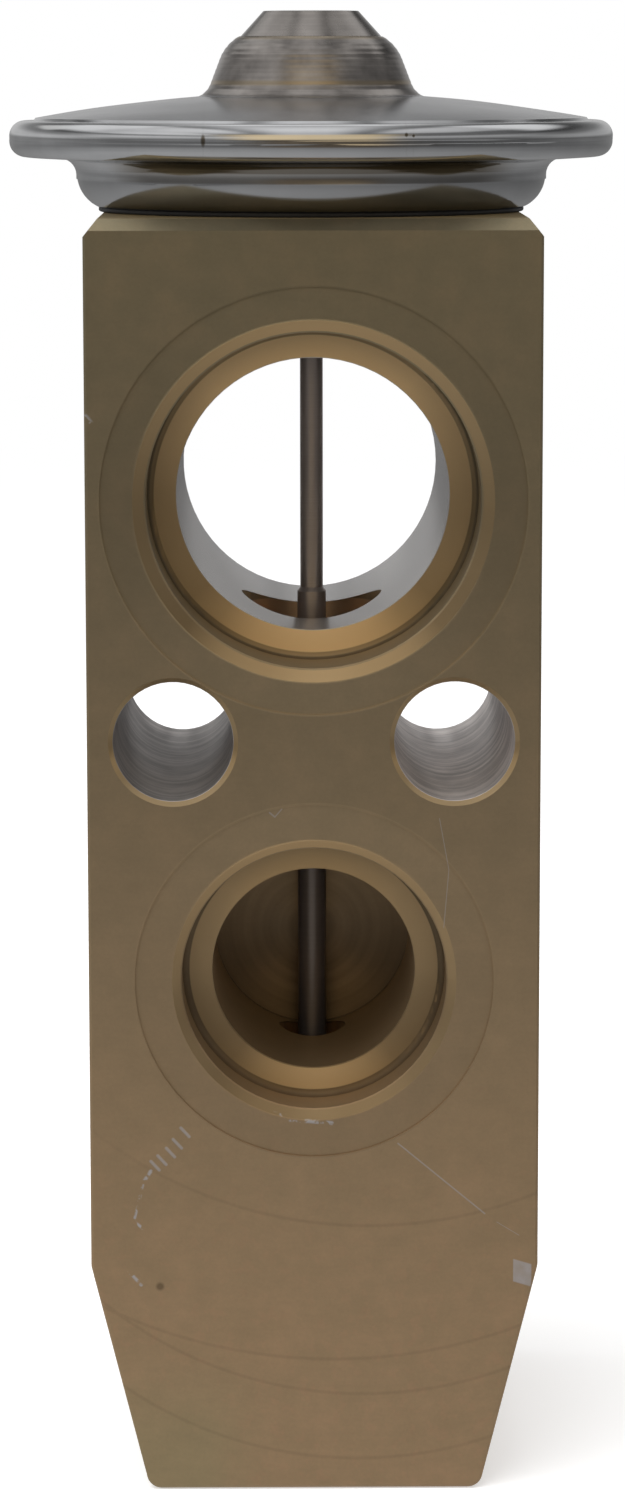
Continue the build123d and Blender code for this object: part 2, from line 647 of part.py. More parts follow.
def cover_cavity():
    """Gas space between the diaphragm and the upper cover, with the charging hole."""
    dish_edge = CAVITY_RADIUS - DISH_THICKNESS
    dish_rise = RIM_MIDDLE + DISH_FOOT_RISE - DISH_THICKNESS / 2
    dome_foot = RIM_MIDDLE + DISH_TOP_RISE - DISH_THICKNESS
    ceiling = DOME_TOP - DOME_THICKNESS
    inner_shoulder = DOME_SHOULDER_RADIUS - DOME_THICKNESS
    points = [
        (0, DIAPHRAGM_TOP),
        (CAVITY_RADIUS, DIAPHRAGM_TOP),
        (dish_edge, dish_rise),
        (DISH_TOP_RADIUS, dome_foot),
        (DOME_WAIST_RADIUS - DOME_THICKNESS, dome_foot + DOME_THICKNESS),
        (inner_shoulder, ceiling - DOME_THICKNESS / 2),
        (inner_shoulder - DOME_THICKNESS / 2, ceiling),
        (PLUG_HOLE_RADIUS, ceiling),
        (PLUG_HOLE_RADIUS, DOME_TOP + OVERRUN),
        (0, DOME_TOP + OVERRUN),
    ]
    return outline(points)


def head_upper_cover():
    """Upper cover: the rim's upper half, a shallow dish and the drawn-up dome."""
    return turned(cover_outer()) - turned(cover_cavity())


def charge_plug():
    """Cone-topped plug, welded on the dome, with its stem in the charging hole."""
    top = DOME_TOP + PLUG_HEIGHT
    stem = PLUG_HOLE_RADIUS - FIXED_GAP
    points = [
        (0, top),
        (PLUG_TOP_RADIUS, top),
        (PLUG_BASE_RADIUS, DOME_TOP),
        (stem, DOME_TOP),
        (stem, DOME_TOP - PLUG_STEM_LENGTH),
        (0, DOME_TOP - PLUG_STEM_LENGTH),
    ]
    return turned(outline(points, {1: PLUG_EDGE}))


PIECES = [
    valve_block,
    transfer_pin,
    pin_seal,
    seal_washer,
    seal_retainer,
    valve_ball,
    ball_carrier,
    damping_ring,
    closing_spring,
    adjusting_screw,
    screw_seal,
    head_seal_ring,
    head_lower_cover,
    diaphragm_plate,
    diaphragm,
    head_upper_cover,
    charge_plug,
]

os.makedirs("parts", exist_ok=True)
for make in PIECES:
    piece = make()
    export_step(piece, f"parts/{make.__name__}.step")
    print(make.__name__, round(piece.volume, 2))
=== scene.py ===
"""Looks of a block-type expansion valve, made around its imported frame.

The frame is in metres: +Z runs up the valve's axis and -Y is the side with the two evaporator ports.
Shapes and marks below are worked out in millimetres and written to their meshes in metres.
"""

import json
from math import cos, pi, radians, sin, sqrt
from types import SimpleNamespace

import bpy
from bpy.props import FloatProperty, FloatVectorProperty, IntProperty, PointerProperty
from mathutils import Matrix, Vector
import numpy as np


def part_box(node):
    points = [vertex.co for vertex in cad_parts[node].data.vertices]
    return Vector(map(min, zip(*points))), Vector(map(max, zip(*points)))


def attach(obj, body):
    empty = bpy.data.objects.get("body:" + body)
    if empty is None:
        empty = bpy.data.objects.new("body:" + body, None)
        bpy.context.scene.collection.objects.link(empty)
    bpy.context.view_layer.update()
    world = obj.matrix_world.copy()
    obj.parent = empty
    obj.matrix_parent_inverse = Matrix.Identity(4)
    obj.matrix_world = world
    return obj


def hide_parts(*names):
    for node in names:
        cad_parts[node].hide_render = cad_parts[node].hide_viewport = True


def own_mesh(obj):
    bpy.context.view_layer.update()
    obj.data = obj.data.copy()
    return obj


bl_info = {
    "name": "Expansion Valve Looks",
    "version": (1, 0, 0),
    "blender": (4, 5, 0),
    "location": "View3D > Sidebar > Valve",
    "description": "Finishes and fine detail for a block-type expansion valve",
    "category": "Add Mesh",
}

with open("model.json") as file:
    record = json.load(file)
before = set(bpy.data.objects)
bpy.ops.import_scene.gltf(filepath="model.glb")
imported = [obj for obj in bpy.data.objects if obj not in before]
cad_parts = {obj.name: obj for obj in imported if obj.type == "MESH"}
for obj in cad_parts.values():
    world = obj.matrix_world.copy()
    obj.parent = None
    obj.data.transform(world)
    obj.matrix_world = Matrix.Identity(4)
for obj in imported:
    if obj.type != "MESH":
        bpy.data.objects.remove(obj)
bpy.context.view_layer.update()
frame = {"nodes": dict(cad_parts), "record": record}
MM = 0.001
FULL_TURN = 2 * pi


def node_box(node):
    """Lowest and highest corner of a frame node, in millimetres."""
    return [np.array(corner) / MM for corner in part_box(node)]


def mount_place(name):
    """A mount's place in millimetres."""
    mount = next(item for item in frame["record"]["mounts"] if item["name"] == name)
    return np.array(mount["pos_m"]) / MM


BLOCK_LOW, BLOCK_HIGH = node_box("valve_block")
UPPER_LOW, UPPER_HIGH = node_box("head_upper_cover")
LOWER_LOW, LOWER_HIGH = node_box("head_lower_cover")
PLUG_LOW, PLUG_HIGH = node_box("charge_plug")
PIN_LOW, PIN_HIGH = node_box("transfer_pin")
SPRING_LOW, SPRING_HIGH = node_box("closing_spring")
SCREW_LOW, SCREW_HIGH = node_box("adjusting_screw")
SUCTION = mount_place("suction_inlet")
OUTLET = mount_place("liquid_outlet")
INLET = mount_place("liquid_inlet")
FLANGE_HOLE = mount_place("flange_screw_hole")
BOLTS = mount_place("evaporator_bolts")
FRONT = BLOCK_LOW[1]
BACK = BLOCK_HIGH[1]

# Places on the block, in millimetres
BOLT_OFFSET = 8.065
BOLT_RADIUS = 3.45
MOUTH_DEPTH = 0.75
MOUTH_FLOOR = FRONT + MOUTH_DEPTH
POCKET_RADIUS = 4.5
POCKET_HEIGHT = 48.7    # middle height and half height of the pocket under the suction port
POCKET_HALF = 1.7
OUTLET_END = 2.2        # the liquid port's end wall, along Y

# The front's two ports.
# ring: radius of the turned step round the port; gleam: light on that step at the bottom and at the top
# bore, wall, mouth: radii of the bore, of the wall round the seat and of the mouth's outer edge
# mouth_half: half the width of the mouth's turned face
# seat: middle, half width and softness of the seat's face
# seat_from, seat_depth: how far behind the front the seat's face starts and lies
# corner: radius and depth of the seat's rounded corner, which painted shade darkens
# plane, mouth and seat painted light: how high round the port, from -1 at the bottom to 1 at the top, and the
# tone there; these paint highlights and shade on the turned faces
SUCTION_PORT = SimpleNamespace(
    place=SUCTION,
    ring=12.2,
    gleam=(0.2, -0.1),
    bore=7.9,
    wall=9.6,
    mouth=10.3,
    mouth_half=0.34,
    seat=(8.75, 0.84, 0.02),
    seat_from=4.85,
    seat_depth=5.0,
    corner=(9.45, 4.85),
    plane_painted_light=((-1.0, 0.9), (-0.5, 0.76), (0.0, 0.71), (0.6, 0.78), (1.0, 0.84)),
    mouth_painted_light=((-1.0, 0.64), (-0.85, 0.5), (-0.7, 0.29), (-0.5, 0.31), (0.0, 0.45), (0.7, 0.58),
                 (1.0, 0.64)),
    seat_painted_light=((-1.0, 0.98), (-0.93, 0.88), (-0.8, 0.58), (-0.65, 0.44), (0.0, 0.62), (0.5, 0.85),
                (0.75, 1.0), (1.0, 0.88)),
)
OUTLET_PORT = SimpleNamespace(
    place=OUTLET,
    ring=10.35,
    gleam=(-0.12, 0.15),
    bore=5.93,
    wall=7.67,
    mouth=8.2,
    mouth_half=0.25,
    seat=(6.6, 0.64, 0.05),
    seat_from=3.6,
    seat_depth=3.9,
    corner=(7.5, 3.72),
    plane_painted_light=((-1.0, 0.76), (0.0, 0.79), (1.0, 0.92)),
    mouth_painted_light=((-1.0, 0.44), (-0.7, 0.4), (0.0, 0.58), (1.0, 0.68)),
    seat_painted_light=((-1.0, 0.7), (-0.9, 0.58), (-0.75, 0.4), (-0.6, 0.38), (0.0, 0.59), (0.7, 0.68), (1.0, 0.57)),
)

# Marks on the front face: start and end as (x, z), then half the width, in millimetres
LONG_SCRATCHES = (
    ((4.85, 20.7), (9.9, 16.5), 0.045),
    ((10.6, 16.0), (11.9, 15.2), 0.02),
    ((7.2, 39.8), (7.75, 36.8), 0.025),
    ((7.75, 36.8), (7.45, 33.2), 0.025),
    ((-2.55, 40.15), (-2.25, 39.9), 0.05),
    ((-2.25, 39.9), (-1.85, 40.35), 0.04),
)
BROKEN_SCRATCHES = (
    ((-9.5, 19.1), (-9.95, 18.4), 0.11),
    ((-9.95, 18.4), (-10.2, 17.3), 0.09),
    ((-10.2, 17.3), (-10.45, 16.3), 0.08),
    ((-10.5, 16.1), (-10.0, 15.7), 0.09),
    ((-10.8, 13.1), (-10.1, 12.3), 0.1),
    ((-3.0, 23.1), (-1.4, 22.1), 0.1),
    ((-1.4, 22.1), (1.0, 21.9), 0.12),
    ((-12.9, 62.9), (-12.6, 62.5), 0.16),
)
# Short dents that cross a skidding tool's track: their middles, and half of each dent
DENTS = ((-7.5, 21.4), (-7.95, 20.72), (-8.35, 20.2), (-8.85, 19.75), (-9.25, 19.42))
DENT_REACH = (0.24, -0.26)
DENT_HALF_WIDTH = 0.095
CHIP_PLACE = (12.1, 12.95)
CHIP_HALF_SIZE = (0.5, 0.62)
CHIP_SLANT = 0.3
SPOT_PLACE = (-9.0, 12.2)
SPOT_RADIUS = 0.22
BETWEEN_PORTS = 44.5         # a height between the two ports
CUTTER_SWEEP = (3.0, 36.0)   # the middle of the cutter's sweeping marks
# Cutter arcs: centre x and z, radius
CUTTER_ARCS = ((3.2, 41.2, 25.4), (2.9, 29.3, 23.6), (2.6, 25.4, 23.6), (1.2, 38.0, 30.2))


class ValveShape(bpy.types.PropertyGroup):
    """Sizes of the pieces that are made here."""

    columns: IntProperty(name="Columns", description="Points round each turned piece", default=256, min=48)
    ripple: FloatProperty(
        name="Polish ripple",
        description="Height of the gentle waves in the pressed steel",
        default=0.000008,
        unit="LENGTH",
    )
    groove: FloatProperty(
        name="Turned groove",
        description="Depth of the turning marks on the dome",
        default=0.000008,
        unit="LENGTH",
    )
    wire_radius: FloatProperty(
        name="Spring wire", description="Radius of the spring's wire", default=0.00036, unit="LENGTH"
    )
    spring_turns: IntProperty(
        name="Spring turns", description="Turns of the closing spring", default=5, min=2
    )
    screw_pitch: FloatProperty(
        name="Screw pitch", description="Pitch of the screw's thread", default=0.00075, unit="LENGTH"
    )
    flange_pitch: FloatProperty(
        name="Flange pitch", description="Pitch of the flange screw's thread", default=0.001, unit="LENGTH"
    )


def colour(name, description, default):
    """A colour property, linear."""
    return FloatVectorProperty(
        name=name, description=description, default=default, subtype="COLOR", min=0, max=1
    )


class ValveFinish(bpy.types.PropertyGroup):
    """Colours of the finishes."""

    # Top and foot colours: the film's own olive and tan, with painted shade at the top and painted light at
    # the foot
    anodised_top_shaded: colour("Anodised, top", "Champagne film at the top of the block", (0.336, 0.288, 0.188))
    anodised_foot_lit: colour("Anodised, foot", "Champagne film at the foot of the block", (0.503, 0.349, 0.202))
    anodised_warm: colour("Anodised, warm", "Pinker patches near the foot", (0.547, 0.357, 0.21))
    olive: colour("Anodised, olive", "Greener patch at the foot's left", (0.45, 0.355, 0.2))
    turned_gold: colour("Turned faces", "Film on the ports' turned faces", (1.0, 0.73, 0.41))
    drilled: colour("Drilled metal", "Bare aluminium in the bolt holes", (0.82, 0.765, 0.74))
    bored: colour("Bored metal", "Bare aluminium in the suction bore", (0.65, 0.635, 0.63))
    pocket: colour("Pocket", "Film in the pocket under the suction port", (0.75, 0.52, 0.33))
    scratch: colour("Scratch", "Bare aluminium in scratches and chips", (0.70, 0.69, 0.72))
    stainless: colour("Stainless", "Pressed covers", (0.53, 0.535, 0.545))
    dome: colour("Dome", "Turned dome and plug", (0.27, 0.25, 0.235))
    burnt: colour("Burnt rings", "Straw-coloured rings on the dome", (0.33, 0.27, 0.19))
    # Painted shade under the rim and a painted dark reflection on its front use this colour, as do the dark
    # nicks
    painted_shade_and_nicks: colour("Painted shade and nicks", "Dark lines and nicks in the covers", (0.12, 0.095, 0.06))
    pin: colour("Pin", "Ground pin, ball and plate", (0.335, 0.288, 0.26))
    spring: colour("Spring", "Drawn wire and spring sheet", (0.42, 0.41, 0.40))
    brass: colour("Brass", "Screw and ball carrier", (0.62, 0.42, 0.17))
    rubber: colour("Rubber", "Seals", (0.018, 0.018, 0.019))


class ValveStage(bpy.types.PropertyGroup):
    """Camera, floor and lamps."""

    eye: FloatVectorProperty(
        name="Eye", description="Camera's place", default=(-0.002309, -0.270241, 0.082845), unit="LENGTH"
    )
    lens: FloatProperty(name="Lens", description="Focal length in millimetres", default=108.5)
    yaw: FloatProperty(name="Yaw", description="Camera's turn to the right", default=0.0087, unit="ROTATION")
    pitch: FloatProperty(name="Pitch", description="Camera's tilt down", default=0.1515, unit="ROTATION")
    roll: FloatProperty(name="Roll", description="Camera's roll", default=-0.0012, unit="ROTATION")
    floor: colour("Floor", "Pale floor", (0.8, 0.8, 0.8))
    glow: FloatProperty(name="Floor glow", description="Own light of the floor near the valve", default=0.42)
    wall: FloatProperty(name="Studio level", description="Brightness of what the metal reflects", default=1.0)
    key: FloatProperty(name="Key", description="Power of the overhead lamp in watts", default=9.0)
    fill: FloatProperty(name="Fill", description="Power of the side lamps in watts", default=2.0)


def shape():
    """The shape settings."""
    return bpy.context.scene.valve_shape


def finish():
    """The finish settings."""
    return bpy.context.scene.valve_finish


class Recipe:
    """Wires one material's nodes. Each method adds nodes and returns their output; places are in mm."""

    def __init__(self, name, metallic=0.0, roughness=0.9, anisotropic=0.0):
        self.material = bpy.data.materials.new(name)
        self.material.use_nodes = True
        self.tree = self.material.node_tree
        self.shader = self.tree.nodes["Principled BSDF"]
        self.texture = self.tree.nodes.new("ShaderNodeTexCoord")
        self.shader.inputs["Metallic"].default_value = metallic
        self.shader.inputs["Roughness"].default_value = roughness
        self.shader.inputs["Anisotropic"].default_value = anisotropic
        self.place = self.vector("MULTIPLY", self.texture.outputs["Object"], (1 / MM,) * 3)
        self.x, self.y, self.z = self.parts(self.place)

    def add(self, kind, inputs=None, **settings):
        """A node with its settings and inputs."""
        node = self.tree.nodes.new(kind)
        for key, value in settings.items():
            setattr(node, key, value)
        for key, value in (inputs or {}).items():
            self.feed(node.inputs[key], value)
        return node

    def feed(self, socket, value):
        """Link an output to the socket, or set its value."""
        if isinstance(value, bpy.types.NodeSocket):
            self.tree.links.new(value, socket)
        else:
            socket.default_value = value

    def set(self, **inputs):
        """Feed the shader's sockets, named with underscores for spaces."""
        for key, value in inputs.items():
            self.feed(self.shader.inputs[key.replace("_", " ")], value)
        return self.material

    def math(self, operation, *values, clamp=False):
        """One step of arithmetic."""
        node = self.add("ShaderNodeMath", operation=operation, use_clamp=clamp)
        for socket, value in zip(node.inputs, values):
            self.feed(socket, value)
        return node.outputs[0]

    def fold(self, operation, first, *others):
        """The operation carried on through all the values."""
        for other in others:
            first = self.math(operation, first, other)
        return first

    def times(self, *values):
        """Product of numbers or masks."""
        return self.fold("MULTIPLY", *values)

    def plus(self, *values):
        return self.fold("ADD", *values)

    def minus(self, *values):
        return self.fold("SUBTRACT", *values)

    def most(self, *values):
        """Largest of numbers or masks."""
        return self.fold("MAXIMUM", *values)

    def least(self, *values):
        return self.fold("MINIMUM", *values)

    def size(self, value):
        """The number without its sign."""
        return self.math("ABSOLUTE", value)

    def vector(self, operation, *values):
        """One step of vector arithmetic: a number for a length or a dot product, and else a vector."""
        node = self.add("ShaderNodeVectorMath", operation=operation)
        for socket, value in zip(node.inputs, values):
            self.feed(socket, value)
        scalar = operation in ("LENGTH", "DISTANCE", "DOT_PRODUCT")
        return node.outputs["Value" if scalar else "Vector"]

    def join(self, x=0.0, y=0.0, z=0.0):
        """A vector from three numbers."""
        return self.add("ShaderNodeCombineXYZ", {"X": x, "Y": y, "Z": z}).outputs[0]

    def parts(self, vector):
        """The three numbers of a vector."""
        node = self.add("ShaderNodeSeparateXYZ", {"Vector": vector})
        return [node.outputs[axis] for axis in "XYZ"]

    def flat(self):
        """The place seen along Y: without its depth."""
        return self.join(self.x, 0.0, self.z)

    def radius(self, place):
        """Distance from a line along Y through a place, (x, z) or (x, y, z)."""
        return self.vector("DISTANCE", self.flat(), (place[0], 0.0, place[-1]))

    def round_axis(self):
        """Distance from the valve's own axis."""
        return self.vector("LENGTH", self.join(self.x, self.y))

    def step(self, value, start, end):
        """0 up to start, 1 from end on, smooth between."""
        inputs = {"Value": value, "From Min": start, "From Max": end}
        return self.add("ShaderNodeMapRange", inputs, interpolation_type="SMOOTHSTEP").outputs[0]

    def ranged(self, value, start, end, low, high):
        """Value carried straight from start..end to low..high."""
        inputs = {"Value": value, "From Min": start, "From Max": end, "To Min": low, "To Max": high}
        return self.add("ShaderNodeMapRange", inputs).outputs[0]

    def scale(self, value, low, high):
        """A 0 to 1 value stretched to run from low to high."""
        return self.ranged(value, 0.0, 1.0, low, high)

    def near(self, value, target, half_width, soft):
        """1 within half_width of target, 0 beyond soft more."""
        away = self.size(self.minus(value, target))
        return self.minus(1.0, self.step(away, half_width, half_width + soft))

    def stroke(self, start, end, half_width):
        """1 on a thin line on the front face: the distance to the nearest point between start and end."""
        first = Vector((start[0], 0.0, start[1]))
        run = Vector((end[0], 0.0, end[1])) - first
        away = self.vector("SUBTRACT", self.flat(), tuple(first))
        along = self.vector("DOT_PRODUCT", away, tuple(run / run.length_squared))
        reached = self.scaled(tuple(run), self.math("MULTIPLY", along, 1.0, clamp=True))
        return self.near(self.vector("DISTANCE", away, reached), 0.0, half_width * 0.4, half_width)

    def noise(self, place, scale, detail=2.0, rough=0.5):
        """Noise of about 0 to 1; scale is its cells in each millimetre."""
        inputs = {"Vector": place, "Scale": scale, "Detail": detail, "Roughness": rough}
        return self.add("ShaderNodeTexNoise", inputs).outputs["Fac"]

    def lathe_lines(self, scale):
        """Fine rings round the valve's axis: noise that depends on radius and height alone."""
        return self.noise(self.join(self.round_axis(), 0.0, self.z), scale, detail=4.0, rough=0.7)

    def blend(self, factor, first, second):
        """Colour that goes from first to second."""
        node = self.add("ShaderNodeMix", data_type="RGBA")
        for socket, value in zip((node.inputs[0], node.inputs[6], node.inputs[7]), (factor, first, second)):
            if not isinstance(value, bpy.types.NodeSocket) and socket.type == "RGBA":
                value = (*value, 1.0)
            self.feed(socket, value)
        return node.outputs[2]

    def scaled(self, tint, amount):
        """Colour or vector times a number."""
        node = self.add("ShaderNodeVectorMath", {"Scale": amount}, operation="SCALE")
        self.feed(node.inputs[0], tint)
        return node.outputs["Vector"]

    def toned(self, tint, change):
        """Colour made brighter by a share of itself."""
        return self.scaled(tint, self.plus(1.0, change))

    def ramp(self, value, stops):
        """Grey that follows stops of (value from -1 to 1, grey)."""
        node = self.add("ShaderNodeValToRGB", {"Fac": self.math("MULTIPLY_ADD", value, 0.5, 0.5)})
        marks = node.color_ramp.elements
        while len(marks) < len(stops):
            marks.new(1.0)
        for mark, (place, grey) in zip(marks, stops):
            mark.position = (place + 1) / 2
            mark.color = (grey, grey, grey, 1.0)
        return node.outputs["Color"]

    def bump(self, height, depth):
        """Normal from a height of 0 to 1 that stands for depth millimetres."""
        inputs = {"Height": height, "Distance": depth * MM, "Strength": 1.0}
        return self.add("ShaderNodeBump", inputs).outputs["Normal"]

    def brushed_round(self):
        """Spread the gloss round the valve's axis: along the axis crossed with the place."""
        around = self.vector("NORMALIZE", self.vector("CROSS_PRODUCT", (0.0, 0.0, 1.0), self.place))
        self.set(Tangent=around, Anisotropic_Rotation=0.25)

    def surface(self, shader):
        """Make a shader the material's surface."""
        self.tree.links.new(shader, self.tree.nodes["Material Output"].inputs["Surface"])
        return self.material


class BlockFilm(Recipe):
    """Champagne film on the milled block, with bare metal in the drilled and bored holes."""

    def __init__(self):
        super().__init__("anodised aluminium", metallic=0.9, roughness=0.45, anisotropic=0.9)
        self.tones = finish()
        self.on_front = self.near(self.y, FRONT, 0.2, 0.1)
        self.low_down = self.minus(1.0, self.step(self.z, 4.0, 30.0))
        self.cloud = self.noise(self.place, 0.09, detail=3.0)
        self.patches = self.noise(self.place, 0.42, detail=4.0, rough=0.62)
        self.mottle = self.noise(self.place, 1.1, detail=3.0, rough=0.6)
        self.grain = self.noise(self.place, 5.5, detail=2.0)
        self.suction, self.outlet, self.inlet = map(self.radius, (SUCTION, OUTLET, INLET))

    def plain_film(self):
        """Film from brown at the foot to olive at the top, with warm and green patches low down. The change
        of hue is the film's own; the darker top and lighter foot are partly painted shade and painted light.
        """
        height = self.step(self.z, 5.0, BLOCK_HIGH[2] + 6.0)
        uneven = self.plus(height, self.scale(self.cloud, -0.06, 0.06))
        film = self.blend(uneven, self.tones.anodised_foot_lit, self.tones.anodised_top_shaded)
        warm = self.times(self.step(self.patches, 0.38, 0.82), self.scale(self.low_down, 0.15, 0.85))
        warm = self.most(warm, self.times(self.step(self.mottle, 0.48, 0.66), self.low_down, 0.8))
        film = self.blend(warm, film, self.tones.anodised_warm)
        lower_left = self.times(self.step(self.x, -2.0, -7.0), self.step(self.z, 9.0, 2.0))
        return self.blend(self.times(lower_left, self.scale(self.cloud, 0.5, 1.1)), film, self.tones.olive)

    def milled(self):
        """Change of tone by streaks, grain and a cutter's sweep, with its arcs near the foot."""
        streaks = self.vector("MULTIPLY", self.place, (0.12, 0.12, 1.0))
        streaks = self.noise(streaks, 3.2, detail=3.0, rough=0.6)
        sweep = self.noise(self.join(self.radius(CUTTER_SWEEP)), 1.4, detail=4.0, rough=0.7)
        texture = self.plus(self.scale(streaks, -0.03, 0.03), self.scale(self.grain, -0.06, 0.06),
                            self.ranged(self.patches, 0.25, 0.75, -0.05, 0.05),
                            self.times(self.scale(sweep, -0.05, 0.05), self.low_down))
        arcs = self.most(*(self.near(self.radius((x, z)), size, 0.02, 0.14) for x, z, size in CUTTER_ARCS))
        arcs = self.times(arcs, self.step(self.z, 24.0, 16.0), self.on_front)
        return self.minus(texture, self.times(arcs, 0.1))

    def port_faces(self, port, distance, film):
        """Film with a port's turned faces, with painted highlights and shade on them; also where these faces
        are, and how far painted shade darkens its corner and wall.
        """
        share = self.math("DIVIDE", self.minus(self.z, port.place[2]), distance)
        # Painted light and shade on the flat turned face round the port, by how high round the port
        plane = self.times(self.step(distance, port.ring, port.ring - 0.06), self.on_front)
        tone = self.times(self.ramp(share, port.plane_painted_light), 1.2)
        film = self.toned(film, self.times(plane, self.minus(tone, 1.0)))
        mouth = self.times(self.near(self.y, FRONT + MOUTH_DEPTH / 2, 0.27, 0.04),
                           self.near(distance, (port.wall + port.mouth) / 2, port.mouth_half, 0.04))
        seat = self.times(self.step(self.y, FRONT + port.seat_from, FRONT + port.seat_from + 0.1),
                          self.near(distance, *port.seat),
                          self.near(self.y, FRONT + port.seat_depth, 0.1, 0.05))
        # Painted highlights: the gold of the mouth and seat goes lighter and darker round the port
        for face, strength, tones in ((mouth, 0.9, port.mouth_painted_light), (seat, 0.92, port.seat_painted_light)):
            turned = self.scaled(self.tones.turned_gold, self.ramp(share, tones))
            film = self.blend(self.times(face, strength), film, turned)
        line = self.times(self.near(distance, port.ring, 0.04, 0.08), self.on_front)
        film = self.toned(film, self.times(line, self.ranged(share, -1.0, 1.0, *port.gleam)))
        # Painted shade in the seat's rounded corner and on the wall round the seat
        corner = self.times(self.near(distance, port.corner[0], 0.2, 0.08),
                            self.near(self.y, FRONT + port.corner[1], 0.2, 0.06), 0.6)
        wall = self.times(self.near(distance, port.wall, 0.05, 0.03),
                          self.step(self.y, MOUTH_FLOOR, MOUTH_FLOOR + 0.1),
                          self.step(self.y, 0.0, -1.0), 0.25)
        return film, self.most(mouth, seat), self.most(corner, wall)

    def wear(self):
        """Where scratches, dents, a scuff and a chip show bare metal."""
        breaks = self.step(self.noise(self.place, 2.6, detail=2.0), 0.44, 0.58)
        marks = [self.times(self.stroke(*line), 0.4) for line in LONG_SCRATCHES]
        marks += [self.times(self.stroke(*line), breaks, 0.7) for line in BROKEN_SCRATCHES]
        for x, z in DENTS:
            start, end = ((x + side * DENT_REACH[0], z + side * DENT_REACH[1]) for side in (-1, 1))
            marks.append(self.times(self.stroke(start, end, DENT_HALF_WIDTH), 0.5))
        x, z = CHIP_PLACE
        slanted = self.plus(self.z, self.times(self.x, CHIP_SLANT))
        chip = self.times(self.near(self.x, x, CHIP_HALF_SIZE[0], 0.06),
                          self.near(slanted, z + CHIP_SLANT * x, CHIP_HALF_SIZE[1], 0.1),
                          self.scale(self.mottle, 0.2, 0.9))
        return self.times(self.most(*marks, chip), self.on_front)

    def end_wall(self):
        """Change of tone of the liquid port's end wall: rings, and painted shade that darkens it towards its
        bottom.
        """
        here = self.times(self.step(self.outlet, 6.0, 5.9), self.near(self.y, OUTLET_END, 0.1, 0.1))
        rings = self.noise(self.join(self.outlet), 0.9, detail=2.0, rough=0.6)
        # Painted shade: the end wall darkens towards its bottom
        tone = self.plus(self.ranged(rings, 0.3, 0.7, -0.12, 0.12),
                         self.ranged(self.z, OUTLET[2] - 5, OUTLET[2] + 5, -0.62, 0.0))
        return self.times(here, tone)

    def block_grain(self, around):
        """Direction in which gloss spreads: away from a port's axis on the turned faces round it, level on
        the rest of the front and back, and along Y elsewhere."""
        from_suction, from_outlet = (
            self.vector("SUBTRACT", self.flat(), (port[0], 0.0, port[2])) for port in (SUCTION, OUTLET)
        )
        upper = self.step(self.z, BETWEEN_PORTS, BETWEEN_PORTS + 0.1)
        outwards = self.vector("NORMALIZE", self.blend(upper, from_outlet, from_suction))
        on_face = self.blend(around, (1.0, 0.0, 0.0), outwards)
        facing = self.parts(self.texture.outputs["Normal"])[1]
        square = self.step(self.size(facing), 0.4, 0.6)
        return self.vector("NORMALIZE", self.blend(square, (0.0, 1.0, 0.0), on_face))

    def make(self):
        """Lay the film, the holes and the wear over each other, and set the shader."""
        film = self.toned(self.plain_film(), self.milled())
        # Painted highlight: the film on the top chamfer is made brighter
        top_chamfer_highlight = self.step(self.z, BLOCK_HIGH[2] - 0.7, BLOCK_HIGH[2] - 0.6)
        film = self.scaled(film, self.scale(top_chamfer_highlight, 1.0, 1.22))
        hole = self.least(*(self.radius((side * BOLT_OFFSET, BOLTS[2])) for side in (-1, 1)))
        drilled = self.near(hole, BOLT_RADIUS, 0.012, 0.01)
        rim = self.times(self.near(hole, BOLT_RADIUS + 0.14, 0.12, 0.03),
                         self.near(self.y, FRONT, 0.27, 0.02))
        film = self.blend(rim, film, self.scaled(self.tones.turned_gold, 0.5))
        film, turned, corner_shade = self.port_faces(SUCTION_PORT, self.suction, film)
        film, outlet_turned, outlet_corner_shade = self.port_faces(OUTLET_PORT, self.outlet, film)
        turned = self.most(turned, outlet_turned)
        # Painted shade low in the liquid port's bore; with the corners' painted shade it darkens the film
        bore_shade = self.times(self.near(self.outlet, OUTLET_PORT.bore, 0.05, 0.03), self.step(self.y, 4.0, 3.0),
                          self.ranged(self.z, OUTLET[2] - OUTLET_PORT.bore, OUTLET[2] - 1.0, 0.5, 0.05))
        film = self.scaled(film, self.minus(1.0, self.most(corner_shade, outlet_corner_shade, bore_shade)))

        scores = self.noise(self.join(self.times(self.x, 0.06), self.y), 1.1, 3.0, 0.6)
        level = self.plus(self.scale(self.step(scores, 0.36, 0.66), 0.75, 1.15),
                          self.ranged(self.patches, 0.3, 0.7, -0.2, 0.2))
        level = self.times(level, self.scale(self.step(self.x, -1.0, 1.0), 0.62, 1.0))
        film = self.blend(drilled, film, self.scaled(self.tones.drilled, level))
        bore = self.near(self.suction, SUCTION_PORT.bore, 0.02, 0.015)
        film = self.blend(bore, film, self.tones.bored)
        pocket = self.times(self.step(self.round_axis(), POCKET_RADIUS, POCKET_RADIUS - 0.2),
                            self.near(self.z, POCKET_HEIGHT, POCKET_HALF, 0.1),
                            self.step(self.suction, SUCTION_PORT.bore + 0.01, SUCTION_PORT.bore + 0.05))
        film = self.blend(pocket, film, self.tones.pocket)
        worn = self.wear()
        film = self.blend(worn, film, self.tones.scratch)
        spot = self.near(self.radius(SPOT_PLACE), 0.0, SPOT_RADIUS * 0.5, SPOT_RADIUS)
        film = self.scaled(film, self.scale(self.times(spot, self.on_front), 1.0, 0.55))
        film = self.toned(film, self.end_wall())

